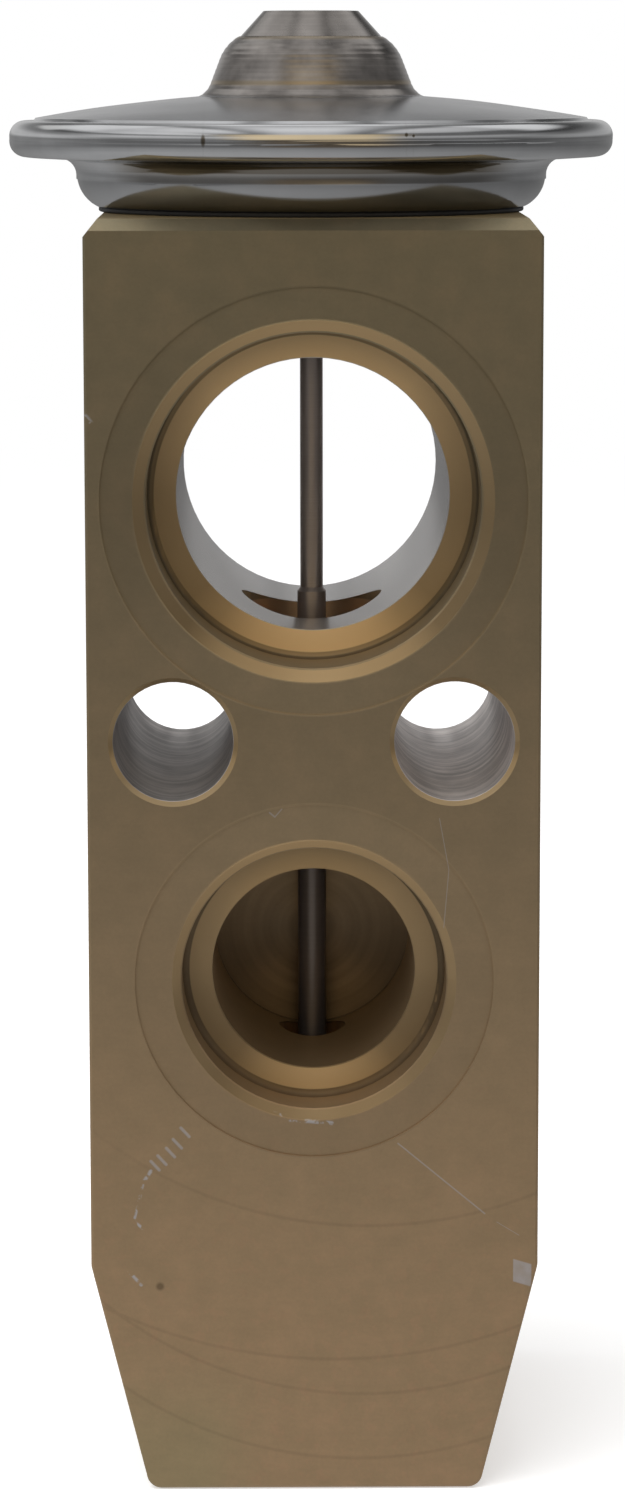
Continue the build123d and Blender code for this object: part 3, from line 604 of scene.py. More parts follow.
        roughness = self.plus(0.45, self.times(drilled, -0.13), self.times(bore, -0.2),
                              self.times(turned, 0.06), self.scale(self.grain, -0.03, 0.03))
        nearest = self.least(self.suction, self.outlet, self.inlet)
        rings = self.noise(self.join(nearest, self.times(self.y, 0.05)), 7.0, detail=3.0, rough=0.7)
        around = self.most(*(self.step(distance, port.mouth + 0.1, port.mouth + 0.05) for distance, port in
                             ((self.suction, SUCTION_PORT), (self.outlet, OUTLET_PORT))))
        relief = self.plus(self.times(rings, around), self.times(self.grain, 0.35),
                           self.times(scores, drilled, 1.6))
        normal = self.bump(self.minus(relief, worn), 0.006)
        return self.set(Base_Color=film, Roughness=roughness, Normal=normal, Tangent=self.block_grain(around))


def turned_metal(name, tint, roughness, ring_scale, ring_depth, contrast, blotch=0.14, burnt=()):
    """Metal with fine rings round the valve's axis. The heights in burnt get a thin straw-coloured ring."""
    recipe = Recipe(name, metallic=1.0, roughness=roughness, anisotropic=0.5)
    lines = recipe.lathe_lines(ring_scale)
    cloud = recipe.noise(recipe.place, 0.7, detail=3.0)
    tone = recipe.plus(recipe.scale(lines, 1 - contrast, 1 + contrast),
                       recipe.ranged(cloud, 0.2, 0.8, -blotch, blotch))
    base = recipe.scaled(tint, tone)
    for height in burnt:
        ring = recipe.times(recipe.near(recipe.z, height, 0.03, 0.2), 0.8)
        base = recipe.blend(ring, base, finish().burnt)
    rough = recipe.plus(roughness, recipe.scale(cloud, -0.06, 0.06))
    recipe.brushed_round()
    return recipe.set(Base_Color=base, Roughness=rough, Normal=recipe.bump(lines, ring_depth))


# Painted shade: the pin is darker low down, in the liquid port
PIN_SHADE = (40.0, 50.0)   # heights over which the pin brightens upwards


def ground_steel():
    """Ground pin: bright, with fine lines round it and a faint brown film, and darker in the liquid port with
    painted shade.
    """
    recipe = Recipe("ground steel", metallic=0.65, roughness=0.34, anisotropic=0.5)
    lines = recipe.lathe_lines(12.0)
    # Painted shade: the pin is darker low down, in the liquid port
    painted_shade_and_nicks = recipe.scale(recipe.step(recipe.z, *PIN_SHADE), 0.55, 1.0)
    base = recipe.scaled(finish().pin, recipe.times(painted_shade_and_nicks, recipe.scale(lines, 0.85, 1.15)))
    recipe.brushed_round()
    return recipe.set(Base_Color=base, Normal=recipe.bump(lines, 0.002))


# Places on the covers, in millimetres. A pair runs from where a look starts to where it is full.
UNDER_RIM_SHADE = 76.75      # painted shade in the crease under the rim
SHADE_LINE_HEIGHT = 76.25        # a fainter line of painted shade below it
WALL_RADII = (15.2, 14.9)
WALL_FOOT_SHADE = (76.2, 75.8)
LOWER_COVER = (77.0, 76.6)
RIM_FRONT = (17.8, 17.9)
DISH_RADII = (16.6, 15.8)
DISH_HEIGHTS = (79.2, 79.5)
HUB_SHADE = (8.0, 14.0)    # radii over which the dish brightens away from the painted shade near the hub
# Dark nicks in the rim's front: x and z of the middle, half of the width and of the height
NICKS = ((-6.15, 78.4, 0.16, 0.42), (5.15, 78.72, 0.12, 0.14), (5.55, 78.66, 0.1, 0.1))


def pressed_steel():
    """Stainless covers: a satin dish that turns into a brightly rolled rim. Painted shade darkens the dish
    near the hub, the crease under the rim and the lower cover's foot, and a painted dark reflection crosses
    the rim's front; dark nicks share that colour.
    """
    tones = finish()
    recipe = Recipe("pressed stainless", metallic=1.0, roughness=0.2)
    out = recipe.round_axis()
    lines = recipe.lathe_lines(3.0)
    cloud = recipe.noise(recipe.place, 0.5, detail=3.0)
    base = recipe.scaled(tones.stainless, recipe.scale(cloud, 0.9, 1.1))
    # Painted shade: the dish darkens towards the hub, a painted reflection of the dark hub
    base = recipe.scaled(base, recipe.ranged(out, *HUB_SHADE, 0.78, 1.0))
    # Painted shade: the lower cover is darker towards its foot
    base = recipe.scaled(base, recipe.scale(recipe.step(recipe.z, *WALL_FOOT_SHADE), 1.0, 0.82))
    ahead = recipe.step(recipe.math("DIVIDE", recipe.size(recipe.y), out), 0.5, 0.75)
    in_front = recipe.step(recipe.y, 0.0, -2.0)
    on_wall = recipe.times(recipe.step(out, *WALL_RADII), ahead)
    # Painted reflection: a dark line along the front of the rim, at the diaphragm's height
    painted_rim_reflection = recipe.times(recipe.near(recipe.z, MIDDLE - 0.03, 0.15, 0.06), recipe.step(out, *RIM_FRONT),
                        recipe.near(recipe.x, 1.7, 4.0, 3.5), in_front, 0.85)
    # Painted shade in the crease under the rim and in a fainter line below it, on the front and back of the
    # lower cover
    painted_shade_and_nicks = recipe.most(recipe.times(recipe.near(recipe.z, UNDER_RIM_SHADE, 0.24, 0.12), on_wall, 0.8), painted_rim_reflection,
                        recipe.times(recipe.near(recipe.z, SHADE_LINE_HEIGHT, 0.25, 0.15), on_wall, 0.5))
    for x, z, half_width, half_height in NICKS:
        spot = recipe.join(recipe.ranged(recipe.x, x - half_width, x + half_width, -1.0, 1.0), 0.0,
                           recipe.ranged(recipe.z, z - half_height, z + half_height, -1.0, 1.0))
        spot = recipe.near(recipe.vector("LENGTH", spot), 0.0, 0.4, 0.7)
        painted_shade_and_nicks = recipe.most(painted_shade_and_nicks, recipe.times(spot, in_front, 0.9))
    base = recipe.blend(painted_shade_and_nicks, base, tones.painted_shade_and_nicks)
    dish = recipe.times(recipe.step(out, *DISH_RADII), recipe.step(recipe.z, *DISH_HEIGHTS))
    lower = recipe.step(recipe.z, *LOWER_COVER)
    rough = recipe.plus(0.13, recipe.times(dish, 0.08), recipe.times(lower, 0.06),
                        recipe.scale(cloud, -0.03, 0.04))
    return recipe.set(Base_Color=base, Roughness=rough, Normal=recipe.bump(lines, 0.002))


def rubber():
    """Matt black seal rubber with a fine mottle."""
    recipe = Recipe("seal rubber", roughness=0.62)
    mottle = recipe.noise(recipe.place, 3.0, detail=3.0)
    base = recipe.scaled(finish().rubber, recipe.scale(mottle, 0.7, 1.4))
    return recipe.set(Base_Color=base, Normal=recipe.bump(mottle, 0.01))


def cut_thread():
    """Bare, freshly cut thread flanks."""
    recipe = Recipe("cut thread", metallic=1.0, roughness=0.34)
    mottle = recipe.noise(recipe.place, 4.0, detail=2.0)
    return recipe.set(Base_Color=recipe.scaled(finish().bored, recipe.scale(mottle, 0.45, 0.8)))


def arc(start, middle, end, steps):
    """Points on the circle through three points; its centre is equally far from all of them."""
    start, middle, end = (np.array(point, float) for point in (start, middle, end))
    sides = np.array([middle - start, end - start])
    centre = start + np.linalg.solve(2 * sides, (sides**2).sum(1))
    angles = [np.arctan2(*(point - centre)[::-1]) for point in (start, middle, end)]
    sweep = (angles[2] - angles[0]) % FULL_TURN
    if (angles[1] - angles[0]) % FULL_TURN > sweep:
        sweep -= FULL_TURN
    turn = angles[0] + sweep * np.linspace(0, 1, steps)
    return centre + np.hypot(*(start - centre)) * np.column_stack([np.cos(turn), np.sin(turn)])


def tangent_arc(start, slope, end, steps):
    """Points on the circle that leaves start along slope and passes through end."""
    start, slope, end = (np.array(point, float) for point in (start, slope, end))
    normal = np.array([-slope[1], slope[0]]) / np.hypot(*slope)
    chord = end - start
    centre = start + normal * (chord @ chord) / (2 * chord @ normal)
    first, last = (np.arctan2(*(point - centre)[::-1]) for point in (start, end))
    sweep = (last - first + pi) % FULL_TURN - pi
    turn = first + sweep * np.linspace(0, 1, steps)
    return centre + np.hypot(*(start - centre)) * np.column_stack([np.cos(turn), np.sin(turn)])


def fillet(before, corner, after, radius, steps=8):
    """Arc of that radius that touches both runs of a corner."""
    before, corner, after = (np.array(point, float) for point in (before, corner, after))
    to_before = (before - corner) / np.hypot(*(before - corner))
    to_after = (after - corner) / np.hypot(*(after - corner))
    half = np.arccos(np.clip(to_before @ to_after, -1, 1)) / 2
    reach = radius / np.tan(half)
    inward = (to_before + to_after) / np.hypot(*(to_before + to_after))
    middle = corner + inward * (radius / np.sin(half) - radius)
    return arc(corner + to_before * reach, middle, corner + to_after * reach, steps)


def fine(path, spacing):
    """The path with further points, so that none of its runs is longer than spacing."""
    path = np.array(path, float)
    length = np.concatenate([[0], np.cumsum(np.hypot(*np.diff(path, axis=0).T))])
    keep = np.concatenate([[True], np.diff(length) > 1e-9])
    path, length = path[keep], length[keep]
    stations = np.union1d(length, np.arange(0, length[-1], spacing))
    stations = stations[np.concatenate([[True], np.diff(stations) > 1e-6])]
    return np.column_stack([np.interp(stations, length, path[:, axis]) for axis in (0, 1)])


def outward(path):
    """Unit normals of a path, to its right."""
    along = np.gradient(path, axis=0)
    along /= np.maximum(np.hypot(*along.T), 1e-9)[:, None]
    return np.column_stack([along[:, 1], -along[:, 0]])


def angles_round(columns):
    """Even angles round the axis."""
    return np.arange(columns) * FULL_TURN / columns


def swept(radius, height, columns):
    """Grid of a surface round the axis: (r cos a, r sin a, z) for each row and each even angle a."""
    angle = angles_round(columns)[None, :]
    return np.stack(np.broadcast_arrays(radius * np.cos(angle), radius * np.sin(angle), height), axis=-1)


def turned_points(path, columns, swell=0.0):
    """Grid of a turned surface from a path of points (r, z). swell moves a point along the path's normal,
    by one value for each point and angle."""
    normal = outward(path)
    return swept(path[:, :1] + normal[:, :1] * swell, path[:, 1:] + normal[:, 1:] * swell, columns)


def grid_faces(rows, columns, looped):
    """Quads between neighbouring rings, each ring closed; a looped grid's last ring meets its first."""
    index = np.arange(rows * columns).reshape(rows, columns)
    below = index if looped else index[:-1]
    above = np.roll(index, -1, axis=0) if looped else index[1:]
    sides = [below, np.roll(below, -1, axis=1), np.roll(above, -1, axis=1), above]
    return np.stack(sides, axis=-1).reshape(-1, 4)


def add_piece(name, points, material, body, replaced=(), looped=False, sharp=35):
    """Object from a grid of points in millimetres; an open grid's ends are closed by fans."""
    rows, columns = points.shape[:2]
    corners = points.reshape(-1, 3) * MM
    faces = grid_faces(rows, columns, looped).tolist()
    if not looped:
        first = np.arange(columns)
        last = first + (rows - 1) * columns
        foot, top = len(corners), len(corners) + 1
        corners = np.vstack([corners, points[0].mean(0) * MM, points[-1].mean(0) * MM])
        faces += np.column_stack([np.full(columns, foot), np.roll(first, -1), first]).tolist()
        faces += np.column_stack([last, np.roll(last, -1), np.full(columns, top)]).tolist()
    mesh = bpy.data.meshes.new(name)
    mesh.from_pydata(corners.tolist(), [], faces)
    mesh.polygons.foreach_set("use_smooth", np.ones(len(mesh.polygons), bool))
    mesh.set_sharp_from_angle(angle=radians(sharp))
    mesh.materials.append(material)
    piece = bpy.data.objects.new(name, mesh)
    bpy.context.scene.collection.objects.link(piece)
    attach(piece, body)
    if replaced:
        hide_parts(*replaced)
    return piece


def paint(node, material):
    """Give a frame node another material."""
    for place in frame["nodes"][node].material_slots:
        place.material = material


def gentle_waves(path, columns, height):
    """Low waves left by pressing: three sines of angle and distance along the path, added up."""
    angle = angles_round(columns)[None, :]
    along = np.concatenate([[0], np.cumsum(np.hypot(*np.diff(path, axis=0).T))])[:, None]
    slow = np.sin(3 * angle + 0.6 * along) + 0.7 * np.sin(5 * angle - 1.1 * along + 2.0)
    return height * (slow + 0.25 * np.sin(11 * angle + 0.9 * along + 1.0))


# Head sizes in millimetres, on the frame's rim and dome
RIM_ROUND = 0.9
RIM_RISE = 1.03           # from the diaphragm's middle to the top and the underside of the rim
DISH_FOOT = (16.3, 1.18)  # radius, and height over the diaphragm's middle
RIM_LEDGE = 0.08          # a small ledge between the rim's round and the dish
LEDGE_RISE = 0.015
DISH_TOP = (6.65, 2.42)
DISH_BULGE = 0.12
WAIST = (5.95, 3.12)
WAIST_FLARE = 0.07
SHOULDER = (5.38, 4.6)
DOME_EDGE = 4.23
GROOVE_PITCH = 0.31       # of the turning marks on the dome
CAVITY = ((14.4, 0.075), (13.45, 0.705), (6.65, 1.47), (5.05, 2.37), (4.48, 4.57), (4.03, 5.02))
PLUG_HOLE = 1.6
CONE_TOP = 2.8
LOWER_WALL = 13.92
LOWER_STEP = 0.06
LOWER_STEP_HEIGHT = 1.6
LOWER_FLOOR_EDGE = 12.7
LOWER_BEND = (13.42, 0.58)
UNDERSIDE_DROP = 0.22
NECK_ROUND = 0.95
INNER_WALL = 12.72
INNER_FLOOR = 1.1
INNER_ROUND = 1.2
NECK_OUTER = 8.95
NECK_INNER = 7.4
NECK_CHAMFER = 0.4
HEAD_RING = 0.3
MIDDLE = (UPPER_LOW[2] + LOWER_HIGH[2]) / 2


def raised(point, base=MIDDLE):
    """A (radius, rise) pair as a (radius, height) pair."""
    return (point[0], base + point[1])


def upper_cover_path():
    """Section of the upper cover, up its outside and back down its inside."""
    rim = UPPER_HIGH[0]
    top = MIDDLE + RIM_RISE
    dish_foot, dish_top, waist, shoulder = map(raised, (DISH_FOOT, DISH_TOP, WAIST, SHOULDER))
    dish_middle = ((dish_foot[0] + dish_top[0]) / 2, (dish_foot[1] + dish_top[1]) / 2 + DISH_BULGE)
    flare = ((dish_top[0] + waist[0]) / 2 - WAIST_FLARE, (dish_top[1] + waist[1]) / 2 - WAIST_FLARE)
    slope = (shoulder[0] - waist[0], shoulder[1] - waist[1])
    edge = (DOME_EDGE, UPPER_HIGH[2])
    bead = arc((rim, top - RIM_ROUND), (rim - RIM_ROUND * (1 - sqrt(0.5)), top - RIM_ROUND * (1 - sqrt(0.5))),
               (rim - RIM_ROUND, top), 24)
    runs = [
        [(CAVITY[0][0], UPPER_LOW[2]), (rim, UPPER_LOW[2])],
        bead,
        [(dish_foot[0] + RIM_LEDGE, top + LEDGE_RISE)],
        arc(dish_foot, dish_middle, dish_top, 40),
        arc(dish_top, flare, waist, 12),
        tangent_arc(shoulder, slope, edge, 20),
        [(PLUG_HOLE, UPPER_HIGH[2])],
        [raised(point) for point in CAVITY[:0:-1]],
    ]
    return np.vstack([np.array(run, float) for run in runs])


def lower_cover_path():
    """Section of the lower cover: up the neck's outside, the stepped wall and rim, and back inside."""
    floor = BLOCK_HIGH[2] + HEAD_RING
    rim = LOWER_HIGH[0]
    underside = MIDDLE - RIM_RISE
    wall_top = (LOWER_WALL, underside - UNDERSIDE_DROP)
    step = (LOWER_WALL, floor + LOWER_STEP_HEIGHT)
    foot = (LOWER_WALL - LOWER_STEP, step[1])
    rim_low = (rim, underside)
    inner_corner = (INNER_WALL, floor + INNER_FLOOR)
    runs = [
        [(NECK_INNER, LOWER_LOW[2]), (NECK_OUTER - NECK_CHAMFER, LOWER_LOW[2])],
        [(NECK_OUTER, LOWER_LOW[2] + NECK_CHAMFER), (NECK_OUTER, floor)],
        arc((LOWER_FLOOR_EDGE, floor), raised(LOWER_BEND, floor), foot, 16),
        [step],
        fillet(step, wall_top, rim_low, NECK_ROUND),
        fillet(wall_top, rim_low, (rim, LOWER_HIGH[2]), RIM_ROUND, 16),
        [(rim, LOWER_HIGH[2]), (INNER_WALL, LOWER_HIGH[2])],
        fillet((INNER_WALL, LOWER_HIGH[2]), inner_corner, (NECK_INNER, inner_corner[1]), INNER_ROUND),
        [(NECK_INNER, inner_corner[1])],
    ]
    return np.vstack([np.array(run, float) for run in runs])


class VALVE_OT_head(bpy.types.Operator):
    """Make the two pressed covers and the charge plug, and finish the pieces between them"""

    bl_idname = "valve.head"
    bl_label = "Head"

    def execute(self, context):
        settings = shape()
        columns = settings.columns
        steel = pressed_steel()
        burnt = (UPPER_HIGH[2] - 0.03, MIDDLE + WAIST[1] + 0.1)
        dome = turned_metal("turned dome", finish().dome, 0.3, 9.0, 0.004, 0.3, blotch=0.4, burnt=burnt)
        path = upper_cover_path()
        inner_points = len(CAVITY) - 1
        upper = np.vstack([fine(path[:-inner_points], 0.12), path[-inner_points:]])
        swell = gentle_waves(upper, columns, settings.ripple / MM)
        on_dome = (upper[:, 0] < DISH_TOP[0]) & (upper[:, 1] > MIDDLE + DISH_TOP[1])
        grooves = np.sin(upper[:, 1] * FULL_TURN / GROOVE_PITCH) * settings.groove / MM
        swell += np.where(on_dome, grooves, 0)[:, None]
        swell[upper[:, 1] < MIDDLE + 0.1] = 0
        swell[-inner_points:] = 0
        cover = add_piece("head_upper_cover_shell", turned_points(upper, columns, swell), steel, "root",
                          ["head_upper_cover"], looped=True)
        cover.data.materials.append(dome)
        heights = np.empty(len(cover.data.polygons) * 3)
        cover.data.polygons.foreach_get("center", heights)
        centres = heights.reshape(-1, 3) / MM
        out = np.hypot(centres[:, 0], centres[:, 1])
        hub = (out < DISH_TOP[0] - 0.1) & (centres[:, 2] > MIDDLE + DISH_TOP[1])
        cover.data.polygons.foreach_set("material_index", hub.astype(np.int32))

        lower = fine(lower_cover_path(), 0.15)
        swell = gentle_waves(lower, columns, settings.ripple / MM)
        swell[(lower[:, 1] < BLOCK_HIGH[2] + HEAD_RING + 0.01) | (lower[:, 1] > LOWER_HIGH[2] - 0.01)] = 0
        add_piece("head_lower_cover_shell", turned_points(lower, columns, swell), steel, "root",
                  ["head_lower_cover"], looped=True)

        top = PLUG_HIGH[2]
        plug = [(0.01, PLUG_LOW[2]), (PLUG_HOLE - 0.03, PLUG_LOW[2]), (PLUG_HOLE - 0.03, UPPER_HIGH[2])]
        cone_foot = (PLUG_HIGH[0], UPPER_HIGH[2])
        plug += [cone_foot, *fillet(cone_foot, (CONE_TOP, top), (0, top), 0.12), (0.01, top)]
        turned = turned_metal("turned plug", finish().dome, 0.26, 7.0, 0.004, 0.2, blotch=0.25)
        add_piece("charge_plug_cone", turned_points(fine(plug, 0.15), 128), turned, "root",
                  ["charge_plug"])
        paint("diaphragm", steel)
        paint("diaphragm_plate", turned_metal("plate steel", finish().pin, 0.35, 5.0, 0.004, 0.12))
        paint("head_seal_ring", rubber())
        return {"FINISHED"}


class VALVE_OT_block(bpy.types.Operator):
    """Finish the machined block"""

    bl_idname = "valve.block"
    bl_label = "Block"

    def execute(self, context):
        paint("valve_block", BlockFilm().make())
        return {"FINISHED"}


class VALVE_OT_pin(bpy.types.Operator):
    """Make the transfer pin"""

    bl_idname = "valve.pin"
    bl_label = "Transfer pin"

    def execute(self, context):
        thin = 0.68
        guided = PIN_HIGH[0]
        edge = 0.15
        guide = 1.2
        shoulder = 0.25
        step = SUCTION[2] - SUCTION_PORT.bore + guide
        low, high = PIN_LOW[2], PIN_HIGH[2]
        path = [(0.01, low), (guided - edge, low), (guided, low + edge), (guided, step)]
        path += [(thin, step + shoulder), (thin, high - edge), (thin - edge, high), (0.01, high)]
        points = turned_points(fine(path, 0.4), 64)
        add_piece("transfer_pin_rod", points, ground_steel(), "stem", ["transfer_pin"])
        return {"FINISHED"}


class VALVE_OT_inner(bpy.types.Operator):
    """Finish the ball, its carrier, the damping ring and the small pieces round the pin"""

    bl_idname = "valve.inner"
    bl_label = "Inner pieces"

    def execute(self, context):
        tones = finish()
        steel = turned_metal("ball steel", tones.pin, 0.12, 4.0, 0.001, 0.05)
        sheet = turned_metal("spring sheet", tones.spring, 0.3, 6.0, 0.003, 0.12)
        paint("valve_ball", steel)
        paint("seal_washer", steel)
        paint("damping_ring", sheet)
        paint("seal_retainer", sheet)
        paint("ball_carrier", turned_metal("turned brass", tones.brass, 0.28, 6.0, 0.005, 0.14))
        paint("pin_seal", rubber())
        paint("screw_seal", rubber())
        return {"FINISHED"}


class VALVE_OT_spring(bpy.types.Operator):
    """Wind the closing spring"""

    bl_idname = "valve.spring"
    bl_label = "Closing spring"

    def execute(self, context):
        settings = shape()
        wire = settings.wire_radius / MM
        low, high = SPRING_LOW[2], SPRING_HIGH[2]
        mean = SPRING_HIGH[0] - wire
        along = np.linspace(0, 1, settings.spring_turns * 72 + 1)[:, None]
        round_wire = angles_round(20)[None, :]
        turn = along * settings.spring_turns * FULL_TURN
        climb = (high - low) / (FULL_TURN * settings.spring_turns)
        tilt = np.arctan2(climb, mean)
        # The wire's circle stands square to the helix: one side runs out from the axis, the other is
        # the axis leaned back by the helix's climb.
        side = wire * np.cos(round_wire)
        rise = wire * np.sin(round_wire)
        x = (mean + side) * np.cos(turn) + rise * np.sin(tilt) * np.sin(turn)
        y = (mean + side) * np.sin(turn) - rise * np.sin(tilt) * np.cos(turn)
        z = np.clip(low + along * (high - low) + rise * np.cos(tilt), low, high)
        wire_steel = turned_metal("spring wire", finish().spring, 0.25, 8.0, 0.002, 0.1)
        piece = add_piece("closing_spring_coil", np.stack([x, y, z], axis=-1)[:, ::-1], wire_steel, "root",
                          ["closing_spring"])
        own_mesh(piece)
        return {"FINISHED"}


def thread_wave(phase):
    """Thread profile over one pitch: 0 at the root and 1 at the crest, flat for an eighth at each."""
    slope = np.abs((phase % 1) * 2 - 1)
    return np.clip((slope - 0.125) / 0.75, 0, 1)


def inner_thread(name, origin, axis, major, depth, pitch, length, lead, half_turn):
    """Cut thread on the wall of a hole: a tube whose bore is major - depth x profile((z - pitch a / turn)
    / pitch), with its back buried in the wall. Both ends run out into the wall over lead."""
    columns = 96
    buried = 0.12
    rows = int(length / pitch * 20)
    height = np.linspace(0, length, rows)[:, None]
    angle = angles_round(columns)[None, :]
    crest = thread_wave(height / pitch - angle / FULL_TURN + half_turn)
    ends = np.clip(np.minimum(height, length - height) / lead, 0, 1)
    bore = major - 0.01 - depth * crest * ends
    back = np.full_like(bore, major + buried)
    points = swept(np.vstack([back, bore[::-1]]), np.vstack([height, height[::-1]]), columns)
    rotation = np.array(Vector((0, 0, 1)).rotation_difference(Vector(axis)).to_matrix())
    points = points @ rotation.T + np.array(origin)
    return add_piece(name, points, cut_thread(), "root", looped=True, sharp=50)


class VALVE_OT_threads(bpy.types.Operator):
    """Cut the threads in the block's foot and in the flange screw hole"""

    bl_idname = "valve.threads"
    bl_label = "Threads in the block"

    def execute(self, context):
        settings = shape()
        pitch = settings.screw_pitch / MM
        start = 0.55
        inner_thread("screw_bore_thread", (0, 0, start), (0, 0, 1), major=5.0, depth=0.36, pitch=pitch,
                     length=5.9, lead=0.5, half_turn=start / pitch)
        inner_thread("flange_hole_thread", (0, BACK - 0.45, FLANGE_HOLE[2]), (0, -1, 0), major=3.0, depth=0.5,
                     pitch=settings.flange_pitch / MM, length=8.4, lead=0.5, half_turn=0.0)
        return {"FINISHED"}


class VALVE_OT_screw(bpy.types.Operator):
    """Make the adjusting screw with its thread, groove and hexagon socket"""

    bl_idname = "valve.screw"
    bl_label = "Adjusting screw"

    def execute(self, context):
        pitch = shape().screw_pitch / MM
        columns = 144
        low, high = SCREW_LOW[2], SCREW_HIGH[2]
        crest = SCREW_HIGH[0]
        depth = 0.38
        chamfer = 0.4
        thread_top = low + 4.2
        nose = 4.45
        groove_radius = 3.3
        groove_top = high - 0.7
        groove_foot = groove_top - 1.3
        flat = 2.5
        socket_depth = 3.6
        angle = angles_round(columns)[None, :]
        sector = (angle + pi / 6) % (pi / 3) - pi / 6
        hexagon = flat / np.cos(sector)

        def ring(radius, height):
            """One ring of the piece, as a row of radii and a row of heights."""
            return radius + 0 * angle, height + 0 * angle

        rows = [ring(0.01, low + socket_depth), ring(hexagon * 0.5, low + socket_depth)]
        rows += [ring(hexagon, low + socket_depth)]
        rows += [ring(hexagon, low + socket_depth * share) for share in (0.66, 0.33, 0.08)]
        rows += [ring(hexagon + 0.15, low), ring(hexagon * 0 + 3.6, low), ring(crest - chamfer, low)]
        for height in np.linspace(low + 0.05, thread_top, int((thread_top - low) / pitch * 20)):
            limit = crest - chamfer + min(height - low, chamfer)
            thread = crest - depth * (1 - thread_wave(height / pitch - angle / FULL_TURN))
            rows.append(ring(np.minimum(thread, limit), height))
        rows += [ring(crest - depth - 0.05, thread_top + 0.01), ring(nose, thread_top + 0.02)]
        rows += [ring(nose, groove_foot), ring(groove_radius, groove_foot), ring(groove_radius, groove_top)]
        rows += [ring(nose, groove_top), ring(nose, high - 0.15), ring(nose - 0.15, high), ring(0.01, high)]
        points = swept(*(np.vstack(part) for part in zip(*rows)), columns)
        brass = turned_metal("screw brass", finish().brass, 0.3, 5.0, 0.004, 0.12)
        add_piece("adjusting_screw_body", points, brass, "adjuster", ["adjusting_screw"], sharp=30)
        return {"FINISHED"}


def seen_rays(tree):
    """1 for camera, glossy and transmission rays, which see the backdrop itself."""
    path = tree.nodes.new("ShaderNodeLightPath")
    total = path.outputs["Is Camera Ray"]
    for name in ("Is Glossy Ray", "Is Transmission Ray"):
        node = tree.nodes.new("ShaderNodeMath")
        node.operation = "MAXIMUM"
        tree.links.new(total, node.inputs[0])
        tree.links.new(path.outputs[name], node.inputs[1])
        total = node.outputs[0]
    return total


def stage_object(name, points, material):
    """Object of the stage from a grid of points in metres, closed round."""
    mesh = bpy.data.meshes.new(name)
    rows, columns = points.shape[:2]
    mesh.from_pydata(points.reshape(-1, 3).tolist(), [], grid_faces(rows, columns, False).tolist())
    mesh.materials.append(material)
    obj = bpy.data.objects.new(name, mesh)
    bpy.context.scene.collection.objects.link(obj)
    return obj


# The floor and the foot of the dome of cards stay a hair apart, and both under the valve: metres
FLOOR_HEIGHT = -0.00008
FLOOR_FADE = (150.0, 700.0)   # distances in millimetres over which the floor turns plain white


def pale_floor(settings):
    """Matt floor with a little glow of its own, which turns plain white further off. From below it is
    clear, so that the valve's foot can be looked at."""
    recipe = Recipe("pale floor")
    far = recipe.step(recipe.vector("LENGTH", recipe.place), *FLOOR_FADE)
    near = recipe.minus(1.0, far)
    glow = recipe.times(seen_rays(recipe.tree), recipe.scale(far, settings.glow, 1.0))
    recipe.shader.inputs["Specular IOR Level"].default_value = 0.0
    recipe.shader.inputs["Emission Color"].default_value = (1, 1, 1, 1)
    tint = recipe.scaled(settings.floor, near)
    recipe.set(Base_Color=tint, Emission_Strength=glow)
    below = recipe.add("ShaderNodeNewGeometry").outputs["Backfacing"]
    looked_at = recipe.add("ShaderNodeLightPath").outputs["Is Camera Ray"]
    clear = recipe.add("ShaderNodeBsdfTransparent")
    both = {0: recipe.times(below, looked_at), 1: recipe.shader.outputs[0], 2: clear.outputs[0]}
    return recipe.surface(recipe.add("ShaderNodeMixShader", both).outputs[0])


def add_floor(settings):
    """Round floor, flat and just under the valve's foot."""
    points = turned_points(np.array([(radius, FLOOR_HEIGHT) for radius in (9.0, 1.0, 0.3, 0.001)]), 64)
    stage_object("floor", points, pale_floor(settings))


# Greys of the studio as polished metal sees them: sine of the angle above the horizon, grey
FRONT_GREYS = ((-0.9, 0.46), (-0.5, 0.42), (-0.24, 0.3), (-0.1, 0.18), (0.0, 0.14), (0.1, 0.22), (0.3, 0.6),
               (0.55, 0.85), (0.75, 0.75), (1.0, 1.15))
BACK_GREYS = ((-0.5, 0.4), (-0.1, 0.22), (0.02, 0.25), (0.08, 0.56), (0.2, 0.56), (0.34, 0.24), (0.5, 0.3),
              (1.0, 0.8))
WHITE_CARD = (0.95, 0.95, 0.93)
BROWN_CARD = (0.13, 0.085, 0.04)
CREAM_CARD = (1.05, 0.84, 0.52)


